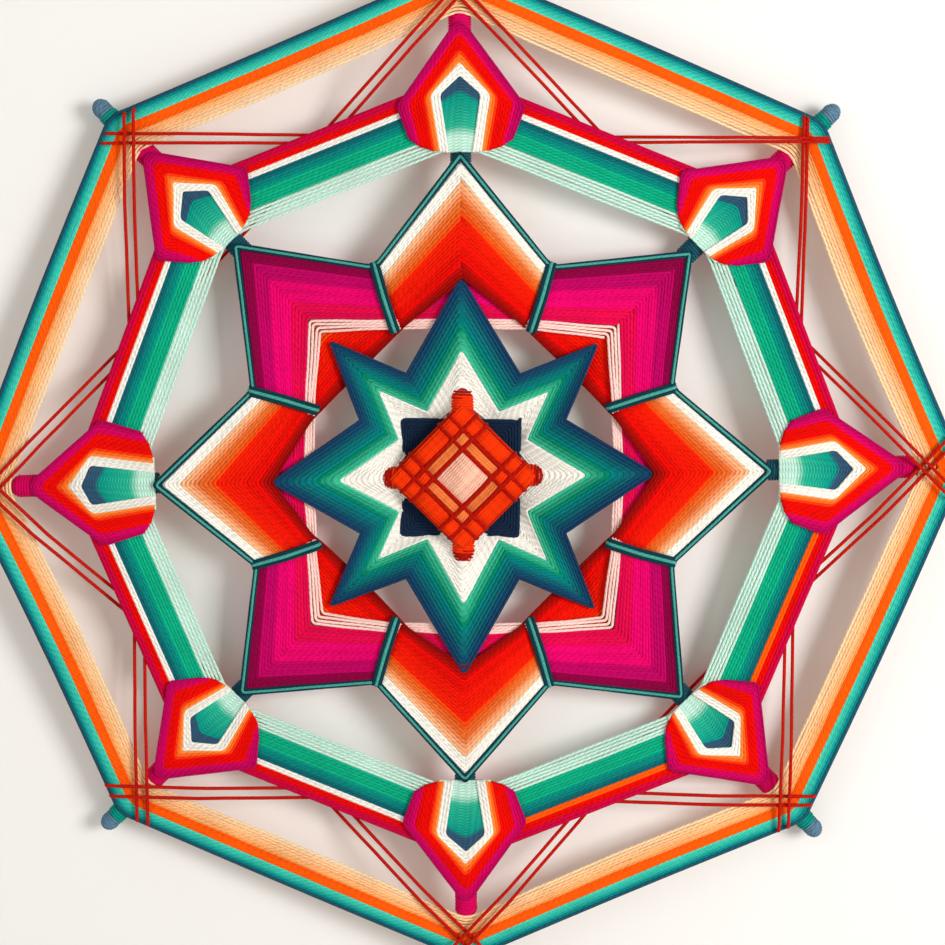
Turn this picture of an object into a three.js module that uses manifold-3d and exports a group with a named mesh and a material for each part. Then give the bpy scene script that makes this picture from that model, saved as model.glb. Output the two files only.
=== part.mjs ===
// Ojo de dios: an eight-armed yarn mandala on two crosses of wooden dowels.
// Millimetres. +Z is up and the front faces -Y. Depth is measured from the wall plane
// at Y = 0 towards the viewer, so a point at depth d has Y = -d.
import * as THREE from 'three';
import { mergeVertices } from 'three/addons/utils/BufferGeometryUtils.js';
import Module from 'manifold-3d';

const wasm = await Module();
wasm.setup();

// Driving dimensions

// Sticks
const tipRadius = 177;
const stickDiameter = 5;
const stickFacets = 12;
const wallGap = 4;
const lapClearance = 0.3;

// Degrees that each stick leans anticlockwise, seen from the front, from an even spacing
const eastWestLean = 1.15;
const risingDiagonalLean = -0.6;
const northSouthLean = 0.2;
const fallingDiagonalLean = -0.7;

// Yarn diameters. A modelled row stands for two or three rows of the real yarn.
const eyeYarn = 1.4;
const starYarn = 1.15;
const frameYarn = 1.4;
const ringYarn = 1.9;
const arrowYarn = 1.15;
const bandYarn = 1.4;
const lacingYarn = 1.2;
const wrapYarn = 1.1;
const yarnSides = 4;
const seatClearance = 0.3;
const leastAllowedGap = 0.4;

// Centre eye on the front cross: first row's corner radius, and the step from row to row
const centreEyeFirstRow = 3.4;
const centreEyePitch = 3;
const centreEyeRise = 1.6;
const centreEyeTurns = { centre_eye_pink: 3, centre_eye_peach: 2, centre_eye_orange: 4 };

// Square eye on the back cross
const navyEyeFirstRow = 11.6;
const navyEyePitch = 3.2;
const navyEyeTurns = { navy_eye: 5.5 };
const navyEyeTopGap = 0.4;

// Eight-pointed star. Its notches are so many degrees from the front cross.
const starFirstTip = 31.8;
const starLastTip = 63.6;
const starFirstNotch = 23;
const starLastNotch = 40;
const starNotchAngle = 28;
const starFirstNotchRise = 0.8;
const starLastNotchRise = 2.6;
const starLiftLead = 4;
const starTurns = { star_white: 2, star_green: 2, star_teal: 2, star_navy: 1 };

// Square and diamond frames that pass over and under each other
const frameInner = 49.4;
const frameOuter = 76.2;
const changeoverLength = 1.8;
const frameLayerClearance = 0.6;
const squareTurns = { square_pink: 1, square_rose: 1, square_hot_pink: 2, square_purple: 1,
  square_maroon: 1, square_teal: 1 };
const diamondTurns = { diamond_crimson: 1, diamond_red: 2, diamond_orange: 1,
  diamond_peach: 1, diamond_white: 1, diamond_teal: 1 };

// Wraps that bind the two frames where they change over
const crossingReach = 2.2;
const crossingFrontGap = 0.7;
const crossingPitch = 2;
const crossingTurns = 2;

// Octagon ring: corner radius of its first and last rows
const ringFirstRow = 113.8;
const ringLastRow = 136.6;
const ringTurns = { ring_mint: 2, ring_green: 3, ring_teal: 1, ring_white: 1, ring_red: 1,
  ring_magenta: 1 };

// Arrowheads over the ring
const arrowFirstApex = 138.8;
const arrowApexPitch = 2.8;
const arrowCorner = 127.5;
const arrowClearance = 0.9;
const arrowFirstHalfWidth = 10;
const arrowLastHalfWidth = 20.6;
const arrowFirstFootHalfWidth = 5.9;
const arrowLastFootHalfWidth = 15.2;
const arrowBackPitch = 2.1;
const arrowTurns = 4;
const arrowStickWraps = 2;

// Outer octagon band: corner radius of its first and last rows
const bandFirstRow = 156.4;
const bandLastRow = 170.2;
const bandTurns = { band_peach: 2, band_orange: 2, band_mint: 2, band_navy: 1 };

// Red lacing: distance of its first run from the centre, and the step to its second run
const lacingFirstRun = 115.6;
const lacingPitch = 3.6;
const lacingRuns = 2;
const lacingHalfCross = 6.1;
const lacingFrontGap = 0.8;
const lacingCrossGap = 0.8;
const squareLacingRise = 0.5;
const diamondLacingRise = 3.6;

// Tip wraps
const tipWrapTurns = 2;
const stickWrapPitch = 2.15;
const stickWrapSteps = 5;
const tipWrapEndInset = 0.7;

// Where two yarn ends of one spiral meet, each stops short by half of this
const yarnEndGap = 4;

// Worked-out places

const stickRadius = stickDiameter / 2;
const backStickDepth = wallGap + stickRadius;
const backStickFront = backStickDepth + stickRadius;
const frontStickBack = backStickFront + seatClearance + eyeYarn + navyEyeTopGap;
const frontStickDepth = frontStickBack + stickRadius;
const eighthTurn = Math.PI / 4;
const sixteenthTurn = Math.PI / 8;
const stickLeans = [eastWestLean, risingDiagonalLean, northSouthLean, fallingDiagonalLean];

const armNames = ['east', 'north_east', 'north', 'north_west', 'west', 'south_west', 'south',
  'south_east'];

const colours = {
  wood: 0xb98a5a, pink: 0xf5b9b0, peach: 0xffaa66, orange: 0xff6410, red: 0xe81a0c,
  darkRed: 0xb01810, crimson: 0xa80a2c, rose: 0xdf0a50, hotPink: 0xe4006c, purple: 0xb40070,
  maroon: 0x86003c, magenta: 0xc8005c, white: 0xf6f2e8, mint: 0x9fe0c6, green: 0x109a74,
  teal: 0x0b8a8a, darkTeal: 0x1c5a5c, navy: 0x24385c, slate: 0x4c6a8c,
};

// Materials and meshes

function yarnMaterial(colour) {
  return new THREE.MeshStandardMaterial({ color: colour, roughness: 0.9, metalness: 0 });
}

function woodMaterial() {
  return new THREE.MeshStandardMaterial({ color: colours.wood, roughness: 0.7, metalness: 0 });
}

const part = new THREE.Group();

function addMesh(name, geometry, material) {
  const mesh = new THREE.Mesh(geometry, material);
  mesh.name = name;
  part.add(mesh);
}

// Points

function isFrontArm(arm) {
  return arm % 2 === 0;
}

function stickDepth(arm) {
  return isFrontArm(arm) ? frontStickDepth : backStickDepth;
}

// Depth of a yarn's centre where the yarn lies on the front of an arm.
function seatDepth(arm, yarn) {
  return stickDepth(arm) + stickRadius + seatClearance + yarn / 2;
}

// An angle of the even spacing, turned by the lean of the sticks on either side of it.
function leanedAngle(angle) {
  const place = THREE.MathUtils.euclideanModulo(angle / eighthTurn, stickLeans.length);
  const stick = Math.floor(place);
  const next = (stick + 1) % stickLeans.length;
  const lean = THREE.MathUtils.lerp(stickLeans[stick], stickLeans[next], place - stick);
  return angle + THREE.MathUtils.degToRad(lean);
}

// A point by its angle in the XZ plane, its distance from the centre and its depth.
function polarPoint(angle, radius, depth) {
  const leaned = leanedAngle(angle);
  return new THREE.Vector3(radius * Math.cos(leaned), -depth, radius * Math.sin(leaned));
}

// A point by its distance along an arm and to the arm's left side.
function armPoint(arm, along, side, depth) {
  const angle = arm * eighthTurn + Math.atan2(side, along);
  return polarPoint(angle, Math.hypot(along, side), depth);
}

// Yarn as one unbroken flat-sided tube with mitred corners

// The tube's first section: its flats face the viewer and the neighbouring rows.
function firstSection(start, direction, yarn) {
  const viewer = new THREE.Vector3(0, 1, 0);
  const helper = Math.abs(direction.y) < 0.9 ? viewer : new THREE.Vector3(1, 0, 0);
  const across = new THREE.Vector3().crossVectors(direction, helper).normalize();
  const up = new THREE.Vector3().crossVectors(across, direction);
  const radius = yarn / 2 / Math.cos(Math.PI / yarnSides);
  const section = [];
  for (let i = 0; i < yarnSides; i += 1) {
    const turn = (2 * Math.PI * (i + 0.5)) / yarnSides;
    const spoke = across.clone().multiplyScalar(radius * Math.cos(turn));
    section.push(start.clone().add(spoke).addScaledVector(up, radius * Math.sin(turn)));
  }
  return section;
}

// Slides each corner of a section along a direction to the plane through a path's point.
function slideSection(section, direction, point, normal) {
  return section.map((corner) => {
    const reach = point.clone().sub(corner).dot(normal) / direction.dot(normal);
    return corner.clone().addScaledVector(direction, reach);
  });
}

function yarnSections(path, yarn) {
  const sections = [];
  for (let i = 0; i + 1 < path.length; i += 1) {
    const direction = path[i + 1].clone().sub(path[i]).normalize();
    if (i === 0) {
      sections.push(firstSection(path[0], direction, yarn));
    }
    let normal = direction;
    if (i + 2 < path.length) {
      normal = path[i + 2].clone().sub(path[i + 1]).normalize().add(direction).normalize();
    }
    sections.push(slideSection(sections[i], direction, path[i + 1], normal));
  }
  return sections;
}

function yarnGeometry(sections) {
  const positions = sections.flat().flatMap((corner) => [corner.x, corner.y, corner.z]);
  const index = [];
  for (let ring = 0; ring + 1 < sections.length; ring += 1) {
    for (let side = 0; side < yarnSides; side += 1) {
      const a = ring * yarnSides + side;
      const b = ring * yarnSides + ((side + 1) % yarnSides);
      index.push(a, a + yarnSides, b, b, a + yarnSides, b + yarnSides);
    }
  }
  const last = (sections.length - 1) * yarnSides;
  for (let side = 1; side + 1 < yarnSides; side += 1) {
    index.push(0, side, side + 1);
    index.push(last, last + side + 1, last + side);
  }
  const geometry = new THREE.BufferGeometry();
  geometry.setAttribute('position', new THREE.Float32BufferAttribute(positions, 3));
  geometry.setIndex(index);
  return geometry;
}

// Least gap between a tube and itself: from points on its edges to the edges of its other
// runs, leaving out runs that are near along the yarn.
function leastSelfGap(path, sections, yarn) {
  const neighbourReach = 5 * yarn;
  const lengths = [0];
  for (let i = 1; i < path.length; i += 1) {
    lengths.push(lengths[i - 1] + path[i].distanceTo(path[i - 1]));
  }
  let least = Infinity;
  const point = new THREE.Vector3();
  const nearest = new THREE.Vector3();
  const edge = new THREE.Line3();
  for (let i = 0; i + 1 < path.length; i += 1) {
    const runLength = lengths[i + 1] - lengths[i];
    const samples = Math.ceil(runLength / (2 * yarn));
    for (let j = 0; j + 1 < path.length; j += 1) {
      for (let k = 0; k <= samples; k += 1) {
        const place = lengths[i] + (runLength * k) / samples;
        for (let corner = 0; corner < yarnSides; corner += 1) {
          point.lerpVectors(sections[i][corner], sections[i + 1][corner], k / samples);
          for (let other = 0; other < yarnSides; other += 1) {
            edge.set(sections[j][other], sections[j + 1][other]);
            const share = edge.closestPointToPointParameter(point, true);
            edge.at(share, nearest);
            const nearestPlace = THREE.MathUtils.lerp(lengths[j], lengths[j + 1], share);
            if (Math.abs(nearestPlace - place) > neighbourReach) {
              least = Math.min(least, nearest.distanceTo(point));
            }
          }
        }
      }
    }
  }
  return least;
}

function addYarn(name, path, yarn, colour) {
  const sections = yarnSections(path, yarn);
  const gap = leastSelfGap(path, sections, yarn);
  const words = gap > leastAllowedGap ? '' : ' (too small)';
  console.log(`${name}: least gap to itself ${gap.toFixed(2)} mm${words}`);
  addMesh(name, yarnGeometry(sections), yarnMaterial(colour));
}

// Moves both ends of a path in along its first and last runs.
function shortenEnds(path, length) {
  const last = path.length - 1;
  const head = path[1].clone().sub(path[0]).setLength(length / 2);
  const tail = path[last - 1].clone().sub(path[last]).setLength(length / 2);
  path[0].add(head);
  path[last].add(tail);
  return path;
}

// A spiral of several colours in a row. pointAt gives the point at a count of turns, and
// each colour takes its own turns of the one spiral.
function addSpiral(turnsByName, pointsPerTurn, pointAt, yarn, colourList) {
  let step = 0;
  Object.entries(turnsByName).forEach(([name, turns], order) => {
    const path = [];
    for (let i = 0; i <= turns * pointsPerTurn; i += 1) {
      path.push(pointAt(step + i));
    }
    step += turns * pointsPerTurn;
    addYarn(name, shortenEnds(path, yarnEndGap), yarn, colourList[order]);
  });
}

function totalTurns(turnsByName) {
  return Object.values(turnsByName).reduce((sum, turns) => sum + turns, 0);
}

// Sticks

function toSolid(geometry) {
  const bare = geometry.clone();
  bare.deleteAttribute('normal');
  bare.deleteAttribute('uv');
  const merged = mergeVertices(bare);
  const vertProperties = new Float32Array(merged.attributes.position.array);
  const triVerts = new Uint32Array(merged.index.array);
  return new wasm.Manifold(new wasm.Mesh({ numProp: 3, vertProperties, triVerts }));
}

function toGeometry(solid) {
  const mesh = solid.getMesh();
  const geometry = new THREE.BufferGeometry();
  geometry.setAttribute('position', new THREE.BufferAttribute(mesh.vertProperties, 3));
  geometry.setIndex(new THREE.BufferAttribute(mesh.triVerts, 1));
  return geometry;
}

// A dowel through the hub with half its thickness cut away there, at the front or the back.
function addStick(name, arm, notchAtFront) {
  const dowel = new THREE.CylinderGeometry(stickRadius, stickRadius, 2 * tipRadius, stickFacets);
  dowel.rotateZ(Math.PI / 2);
  const notchWidth = stickDiameter + 2 * lapClearance;
  const notch = new THREE.BoxGeometry(notchWidth, stickDiameter, 2 * stickDiameter);
  const notchPlace = (stickDiameter - lapClearance) / 2;
  notch.translate(0, notchAtFront ? -notchPlace : notchPlace, 0);
  const lapped = toGeometry(toSolid(dowel).subtract(toSolid(notch)));
  const mesh = new THREE.Mesh(lapped, woodMaterial());
  mesh.name = name;
  mesh.rotation.y = -leanedAngle(arm * eighthTurn);
  mesh.position.y = -stickDepth(arm);
  part.add(mesh);
}

addStick('stick_east_west', 0, true);
addStick('stick_north_south', 2, false);
addStick('stick_rising_diagonal', 1, true);
addStick('stick_falling_diagonal', 3, false);

// Eyes

// Rows whose corners lie on the four arms of one cross. The first row stands out by rise.
function eyePoint(firstArm, firstRow, pitch, rise, turns) {
  return (step) => {
    const arm = firstArm + 2 * (step % 4);
    const grown = step / (4 * turns);
    const depth = seatDepth(firstArm, eyeYarn) + rise * (1 - grown);
    return polarPoint(arm * eighthTurn, firstRow + (pitch * step) / 4, depth);
  };
}

addSpiral(
  centreEyeTurns, 4,
  eyePoint(2, centreEyeFirstRow, centreEyePitch, centreEyeRise, totalTurns(centreEyeTurns)),
  eyeYarn, [colours.pink, colours.peach, colours.orange],
);
addSpiral(
  navyEyeTurns, 4,
  eyePoint(1, navyEyeFirstRow, navyEyePitch, 0, totalTurns(navyEyeTurns)),
  eyeYarn, [colours.navy],
);

// Frames: two layers that change over halfway between neighbouring arms

const layerStep = frameYarn + frameLayerClearance;
const frameTurnCount = totalTurns(squareTurns);
const framePitch = (frameOuter - frameInner) / frameTurnCount;

// Where they change over, the diamond's rows lie halfway between the square's. An eighth of a
// row is what a spiral grows over half a side.
const diamondInner = frameInner - framePitch * (1 / 2 - 1 / 8);

// Depth of the lower layer at an angle: on the front of the arms, and straight in between.
function lowerLayerDepth(angle, yarn) {
  const place = angle / eighthTurn;
  const arm = Math.floor(place);
  return THREE.MathUtils.lerp(seatDepth(arm, yarn), seatDepth(arm + 1, yarn), place - arm);
}

// One side of a frame has a corner on its own arm, two points at each changeover and one
// point on the arm that it passes under. Own arms carry the upper layer.
function framePoint(firstArm, firstRow) {
  return (step) => {
    const side = Math.floor(step / 6);
    const place = step % 6;
    const distance = firstRow + (framePitch * step) / 24;
    const change = distance * Math.tan(sixteenthTurn);
    const half = changeoverLength / 2;
    const along = [-distance, -change - half, half - change, 0, change - half, change + half][place];
    const upper = place < 2 || place === 5;
    const middle = (firstArm + 2 * side + 1) * eighthTurn;
    const angle = middle + Math.atan2(along, distance);
    const depth = lowerLayerDepth(angle, frameYarn) + (upper ? layerStep : 0);
    return polarPoint(angle, Math.hypot(along, distance), depth);
  };
}

addSpiral(
  squareTurns, 24, framePoint(1, frameInner), frameYarn,
  [colours.pink, colours.rose, colours.hotPink, colours.purple, colours.maroon, colours.darkTeal],
);
addSpiral(
  diamondTurns, 24, framePoint(2, diamondInner), frameYarn,
  [colours.crimson, colours.red, colours.orange, colours.peach, colours.white, colours.teal],
);

// Star: rows that rise on to the frames' lower layer towards the tips

const starTurnCount = totalTurns(starTurns);

function starPoint(step) {
  const grown = step / (16 * starTurnCount);
  const place = step % 16;
  if (place % 2 === 0) {
    const tip = THREE.MathUtils.lerp(starFirstTip, starLastTip, grown);
    const risen = (tip - starFirstTip) / (frameInner - starLiftLead - starFirstTip);
    const lift = layerStep * Math.min(1, risen);
    return polarPoint(place * sixteenthTurn, tip, seatDepth(place / 2, starYarn) + lift);
  }
  const frontArm = 2 * Math.round(place / 4);
  const offset = Math.sign(place / 2 - frontArm) * THREE.MathUtils.degToRad(starNotchAngle);
  const angle = frontArm * eighthTurn + offset;
  const notch = THREE.MathUtils.lerp(starFirstNotch, starLastNotch, grown);
  const rise = THREE.MathUtils.lerp(starFirstNotchRise, starLastNotchRise, grown);
  return polarPoint(angle, notch, lowerLayerDepth(angle, starYarn) + rise);
}

addSpiral(
  starTurns, 16, starPoint, starYarn,
  [colours.white, colours.green, colours.teal, colours.navy],
);

// Octagons: rows that pass over the front of all eight arms

function octagonPoint(firstRow, lastRow, yarn, turns) {
  return (step) => {
    const arm = step % 8;
    const radius = THREE.MathUtils.lerp(firstRow, lastRow, step / (8 * turns));
    return polarPoint(arm * eighthTurn, radius, seatDepth(arm, yarn));
  };
}

// Depth of an octagon's row at a distance to one side of an arm.
function octagonDepth(arm, side, row, yarn) {
  const share = side / (row * Math.sin(eighthTurn));
  return THREE.MathUtils.lerp(seatDepth(arm, yarn), seatDepth(arm + 1, yarn), share);
}

addSpiral(
  ringTurns, 8,
  octagonPoint(ringFirstRow, ringLastRow, ringYarn, totalTurns(ringTurns)),
  ringYarn,
  [colours.mint, colours.green, colours.teal, colours.white, colours.red, colours.magenta],
);
addSpiral(
  bandTurns, 8,
  octagonPoint(bandFirstRow, bandLastRow, bandYarn, totalTurns(bandTurns)),
  bandYarn, [colours.peach, colours.orange, colours.mint, colours.navy],
);

// Wraps round the sticks

// A coil round an arm, from its front, as a polygon that clears the round stick.
function stickCoil(arm, start, turns, yarn) {
  const radius = (stickRadius + seatClearance + yarn / 2) / Math.cos(Math.PI / stickWrapSteps);
  const coil = [];
  for (let i = 0; i <= turns * stickWrapSteps; i += 1) {
    const turn = (2 * Math.PI * i) / stickWrapSteps;
    const along = start + (stickWrapPitch * i) / stickWrapSteps;
    coil.push(armPoint(arm, along, radius * Math.sin(turn), stickDepth(arm) + radius * Math.cos(turn)));
  }
  return coil;
}

function addTipWrap(name, arm) {
  const start = tipRadius - tipWrapEndInset - tipWrapTurns * stickWrapPitch;
  addYarn(name, stickCoil(arm, start, tipWrapTurns, wrapYarn), wrapYarn, colours.slate);
}

// Arrowheads: loops from the front of the stick, out to the ring's outer edge, down over the
// ring's front, round its inner edge and back behind the stick

function arrowheadPath(arm) {
  const overRing = (ringYarn + arrowYarn) / 2 + arrowClearance;
  const aroundRing = overRing / Math.cos(sixteenthTurn);
  const slope = Math.tan(sixteenthTurn);
  const backDepth = stickDepth(arm) - stickRadius - seatClearance - arrowYarn / 2;
  const firstFoot = ringFirstRow - aroundRing - slope * arrowFirstFootHalfWidth;
  const path = [];
  for (let turn = 0; turn < arrowTurns; turn += 1) {
    const grown = turn / (arrowTurns - 1);
    const half = THREE.MathUtils.lerp(arrowFirstHalfWidth, arrowLastHalfWidth, grown);
    const foot = THREE.MathUtils.lerp(arrowFirstFootHalfWidth, arrowLastFootHalfWidth, grown);
    const footAlong = ringFirstRow - aroundRing - slope * foot;
    const backAlong = firstFoot - arrowBackPitch * turn;
    const cornerDepth = octagonDepth(arm, half, ringLastRow, ringYarn) + overRing;
    const footDepth = octagonDepth(arm, foot, ringFirstRow, ringYarn) + overRing;
    const apexDepth = seatDepth(arm, arrowYarn) + overRing * (1 - grown);
    path.push(armPoint(arm, arrowFirstApex + arrowApexPitch * turn, 0, apexDepth));
    path.push(armPoint(arm, arrowCorner, -half, cornerDepth));
    path.push(armPoint(arm, footAlong, -foot, footDepth));
    path.push(armPoint(arm, backAlong, -foot, backDepth));
    path.push(armPoint(arm, backAlong, foot, backDepth));
    path.push(armPoint(arm, footAlong, foot, footDepth));
    path.push(armPoint(arm, arrowCorner, half, cornerDepth));
  }
  const coilStart = arrowFirstApex + arrowApexPitch * arrowTurns;
  return path.concat(stickCoil(arm, coilStart, arrowStickWraps, arrowYarn));
}

// Crossing wraps: loops round both frames, halfway between two arms

function crossingPath(arm) {
  const angle = (arm + 0.5) * eighthTurn;
  const inner = diamondInner / Math.cos(sixteenthTurn) - crossingReach;
  const outer = frameOuter / Math.cos(sixteenthTurn) + crossingReach;
  const lower = lowerLayerDepth(angle, frameYarn);
  const clear = (frameYarn + wrapYarn) / 2;
  const front = lower + layerStep + clear + crossingFrontGap;
  const back = lower - clear - crossingFrontGap;
  const corners = [[inner, front], [outer, front], [outer, back], [inner, back]];
  const path = [];
  for (let i = 0; i <= 4 * crossingTurns; i += 1) {
    const [radius, depth] = corners[i % 4];
    const aside = crossingPitch * (i / 4 - crossingTurns / 2);
    const point = polarPoint(angle, radius, depth);
    path.push(point.add(polarPoint(angle + Math.PI / 2, aside, 0)));
  }
  return path;
}

// Lacing: runs between every second arm, dipping behind the arm that they pass, with a cross
// over the outer band at each of their own arms

function lacingPath(firstArm, rise) {
  const path = [];
  for (let i = 0; i < 4 * lacingRuns; i += 1) {
    const arm = firstArm + 2 * (i % 4);
    const run = lacingFirstRun + (lacingPitch * i) / 4;
    const cross = run / Math.cos(eighthTurn);
    const far = cross + lacingHalfCross;
    const coilReach = (stickRadius + seatClearance + wrapYarn / 2) / Math.cos(Math.PI / stickWrapSteps);
    const back = stickDepth(arm) - coilReach - wrapYarn / 2 - seatClearance - lacingYarn / 2;
    const clear = (bandYarn + lacingYarn) / 2 + lacingFrontGap;
    const past = bandYarn + lacingYarn;
    const reach = (cross - bandFirstRow + past) / (1 - Math.tan(sixteenthTurn));
    const front = octagonDepth(arm, 0, bandFirstRow, bandYarn) + clear;
    const inside = octagonDepth(arm, reach, bandFirstRow, bandYarn) + clear;
    const step = lacingYarn + lacingCrossGap;
    path.push(armPoint(arm, cross - reach, -reach, inside));
    path.push(armPoint(arm, far, lacingHalfCross, front));
    path.push(armPoint(arm, far, lacingHalfCross, back));
    path.push(armPoint(arm, far, -lacingHalfCross, back));
    path.push(armPoint(arm, far, -lacingHalfCross, front + step));
    path.push(armPoint(arm, cross - reach, reach, inside + step));
    const passed = arm + 1;
    const behind = stickDepth(passed) - stickRadius - seatClearance - lacingYarn / 2;
    path.push(armPoint(passed, run, -run * Math.tan(sixteenthTurn), behind + rise));
    path.push(armPoint(passed, run, 0, behind));
    path.push(armPoint(passed, run, run * Math.tan(sixteenthTurn), behind + rise));
  }
  return path;
}

armNames.forEach((name, arm) => {
  addYarn(`arrowhead_${name}`, arrowheadPath(arm), arrowYarn, colours.magenta);
  addYarn(`crossing_wrap_${name}`, crossingPath(arm), wrapYarn, colours.darkTeal);
  addTipWrap(`tip_wrap_${name}`, arm);
});

addYarn('square_lacing', lacingPath(1, squareLacingRise), lacingYarn, colours.darkRed);
addYarn('diamond_lacing', lacingPath(2, diamondLacingRise), lacingYarn, colours.darkRed);

export default part;
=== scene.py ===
"""The ojo de dios in yarn: every winding laid row by row on the two crosses of dowels.

Lengths are in metres. The frame has +X to the right, +Z up and the front towards -Y, so a point
at depth d has Y = -d. Arms are counted from east, anticlockwise, an eighth of a turn apart: even
arms belong to the front cross and odd arms to the back cross.
"""

import math
from collections import namedtuple

import bpy
import numpy as np
from bpy.props import FloatProperty, FloatVectorProperty, IntProperty, PointerProperty
from bpy.types import NodeSocket, Operator, Panel, PropertyGroup
from mathutils import Color, Matrix, Vector


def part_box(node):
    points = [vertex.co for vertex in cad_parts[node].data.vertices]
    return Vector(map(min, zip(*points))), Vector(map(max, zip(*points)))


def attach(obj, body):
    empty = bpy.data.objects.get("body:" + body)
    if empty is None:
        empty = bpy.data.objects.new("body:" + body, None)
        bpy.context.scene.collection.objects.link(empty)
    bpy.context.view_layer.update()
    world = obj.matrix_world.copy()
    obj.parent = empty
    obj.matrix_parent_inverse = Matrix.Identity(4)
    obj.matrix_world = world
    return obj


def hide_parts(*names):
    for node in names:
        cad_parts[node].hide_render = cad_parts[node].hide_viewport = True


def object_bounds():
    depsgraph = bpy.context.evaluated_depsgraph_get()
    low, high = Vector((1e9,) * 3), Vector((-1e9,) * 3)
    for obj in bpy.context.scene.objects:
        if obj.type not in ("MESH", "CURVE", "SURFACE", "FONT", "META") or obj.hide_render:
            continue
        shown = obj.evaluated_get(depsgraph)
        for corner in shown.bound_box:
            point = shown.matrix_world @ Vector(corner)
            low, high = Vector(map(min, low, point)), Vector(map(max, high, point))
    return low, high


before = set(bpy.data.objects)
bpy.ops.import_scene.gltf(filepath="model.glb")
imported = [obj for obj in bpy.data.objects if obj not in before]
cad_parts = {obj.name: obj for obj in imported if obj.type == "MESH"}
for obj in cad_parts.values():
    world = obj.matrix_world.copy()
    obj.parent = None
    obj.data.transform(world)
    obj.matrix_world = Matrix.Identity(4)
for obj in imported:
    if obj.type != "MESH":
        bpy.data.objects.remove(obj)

bl_info = {
    "name": "Ojo de dios yarn",
    "version": (1, 0, 0),
    "blender": (4, 5, 0),
    "location": "View3D > Sidebar > Ojo de dios",
    "description": "Winds the yarn of an eight-armed ojo de dios on its dowels",
    "category": "Add Mesh",
}

MM = 0.001

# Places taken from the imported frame
cad_low, cad_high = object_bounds()
front_low, front_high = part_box("stick_east_west")
back_low, back_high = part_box("stick_rising_diagonal")
STICK_RADIUS = (front_high.y - front_low.y) / 2
FRONT_STICK = -(front_high.y + front_low.y) / 2
BACK_STICK = -(back_high.y + back_low.y) / 2
TIP_RADIUS = front_high.x

ARMS = 8
EIGHTH = math.pi / 4
SIXTEENTH = math.pi / 8
STICKS = ("stick_east_west", "stick_rising_diagonal", "stick_north_south",
          "stick_falling_diagonal")
ARM_NAMES = ("east", "north_east", "north", "north_west", "west", "south_west", "south",
             "south_east")
VIEWER = np.array([0.0, -1.0, 0.0])

# First number of each winding's random draws
SEEDS = {"edging": 70, "square": 100, "diamond": 200, "star": 300, "arrowhead": 400,
         "centre_eye": 500, "navy_eye": 510, "lacing": 600, "ring": 700, "band": 800}

# The rows of one colour: how many, and the dyes of the first and the last one
Shade = namedtuple("Shade", "rows first last")

# One colour's share of a winding: also the CAD node that it stands for, its material slot and,
# where the rows lie side by side on the sticks, its width in millimetres
Band = namedtuple("Band", "node slot rows first last width", defaults=(0.0,))


def colour_bands(winding, table):
    """A winding's bands from a table of their colours, rows, first and last dyes and widths."""
    return [Band(f"{winding}_{colour}", f"{colour}_yarn", *rest) for colour, *rest in table]


# Sizes and dyes


def length(label, words, millimetres):
    """A size that is given in millimetres and kept in metres."""
    return FloatProperty(name=label, description=words, default=millimetres * MM, min=0.0,
                         unit="LENGTH", precision=4)


def share(label, words, value):
    """A size as a share of another one."""
    return FloatProperty(name=label, description=words, default=value, min=0.0, max=2.0,
                         subtype="FACTOR")


def dye(label, red, green, blue):
    """A yarn's colour, given by display values of up to 255."""
    return FloatVectorProperty(name=label, description=f"Dye of the {label.lower()} yarn",
                               subtype="COLOR_GAMMA", min=0.0, max=1.0,
                               default=(red / 255, green / 255, blue / 255))


class OjoSizes(PropertyGroup):
    """Sizes of the yarn and of its windings."""

    yarn: length("Yarn", "Diameter of the wound yarn", 1.0)
    cord: length("Outline cord", "Diameter of a strand of the edging cord", 0.95)
    lacing: length("Lacing", "Diameter of the red lacing", 1.25)
    seat: length("Seat", "Gap between a stick and the first layer on it", 0.3)
    layer: length("Layer", "Step from the lower to the upper layer of the two frames", 2.0)
    sway: length("Sway", "How far a tight row wanders from its line", 0.07)
    loose_sway: length("Loose sway", "How far a loose row wanders from its line", 0.2)
    square_start: length("Square start", "Inner row of the square at its corners", 47.8)
    square_waist_start: length("Square waist start", "Inner row where the frames cross", 50.6)
    square_waist: share("Square waist", "Width left where the frames cross", 0.726)
    square_middle: share("Square middle", "Width left under the diamond's corners", 0.85)
    diamond_start: length("Diamond start", "Inner row of the diamond at its corners", 45.6)
    diamond_waist_start: length("Diamond waist start", "Inner row where the frames cross", 50.4)
    diamond_waist: share("Diamond waist", "Width left where the frames cross", 0.75)
    diamond_middle: share("Diamond middle", "Width left under the square's corners", 1.16)
    ring_start: length("Ring start", "Inner row of the ring, at its corners", 110.9)
    band_start: length("Band start", "Inner row of the outer band, at its corners", 150.2)
    sides: IntProperty(name="Sides", description="Flats round a yarn", default=6, min=3, max=16)


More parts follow.
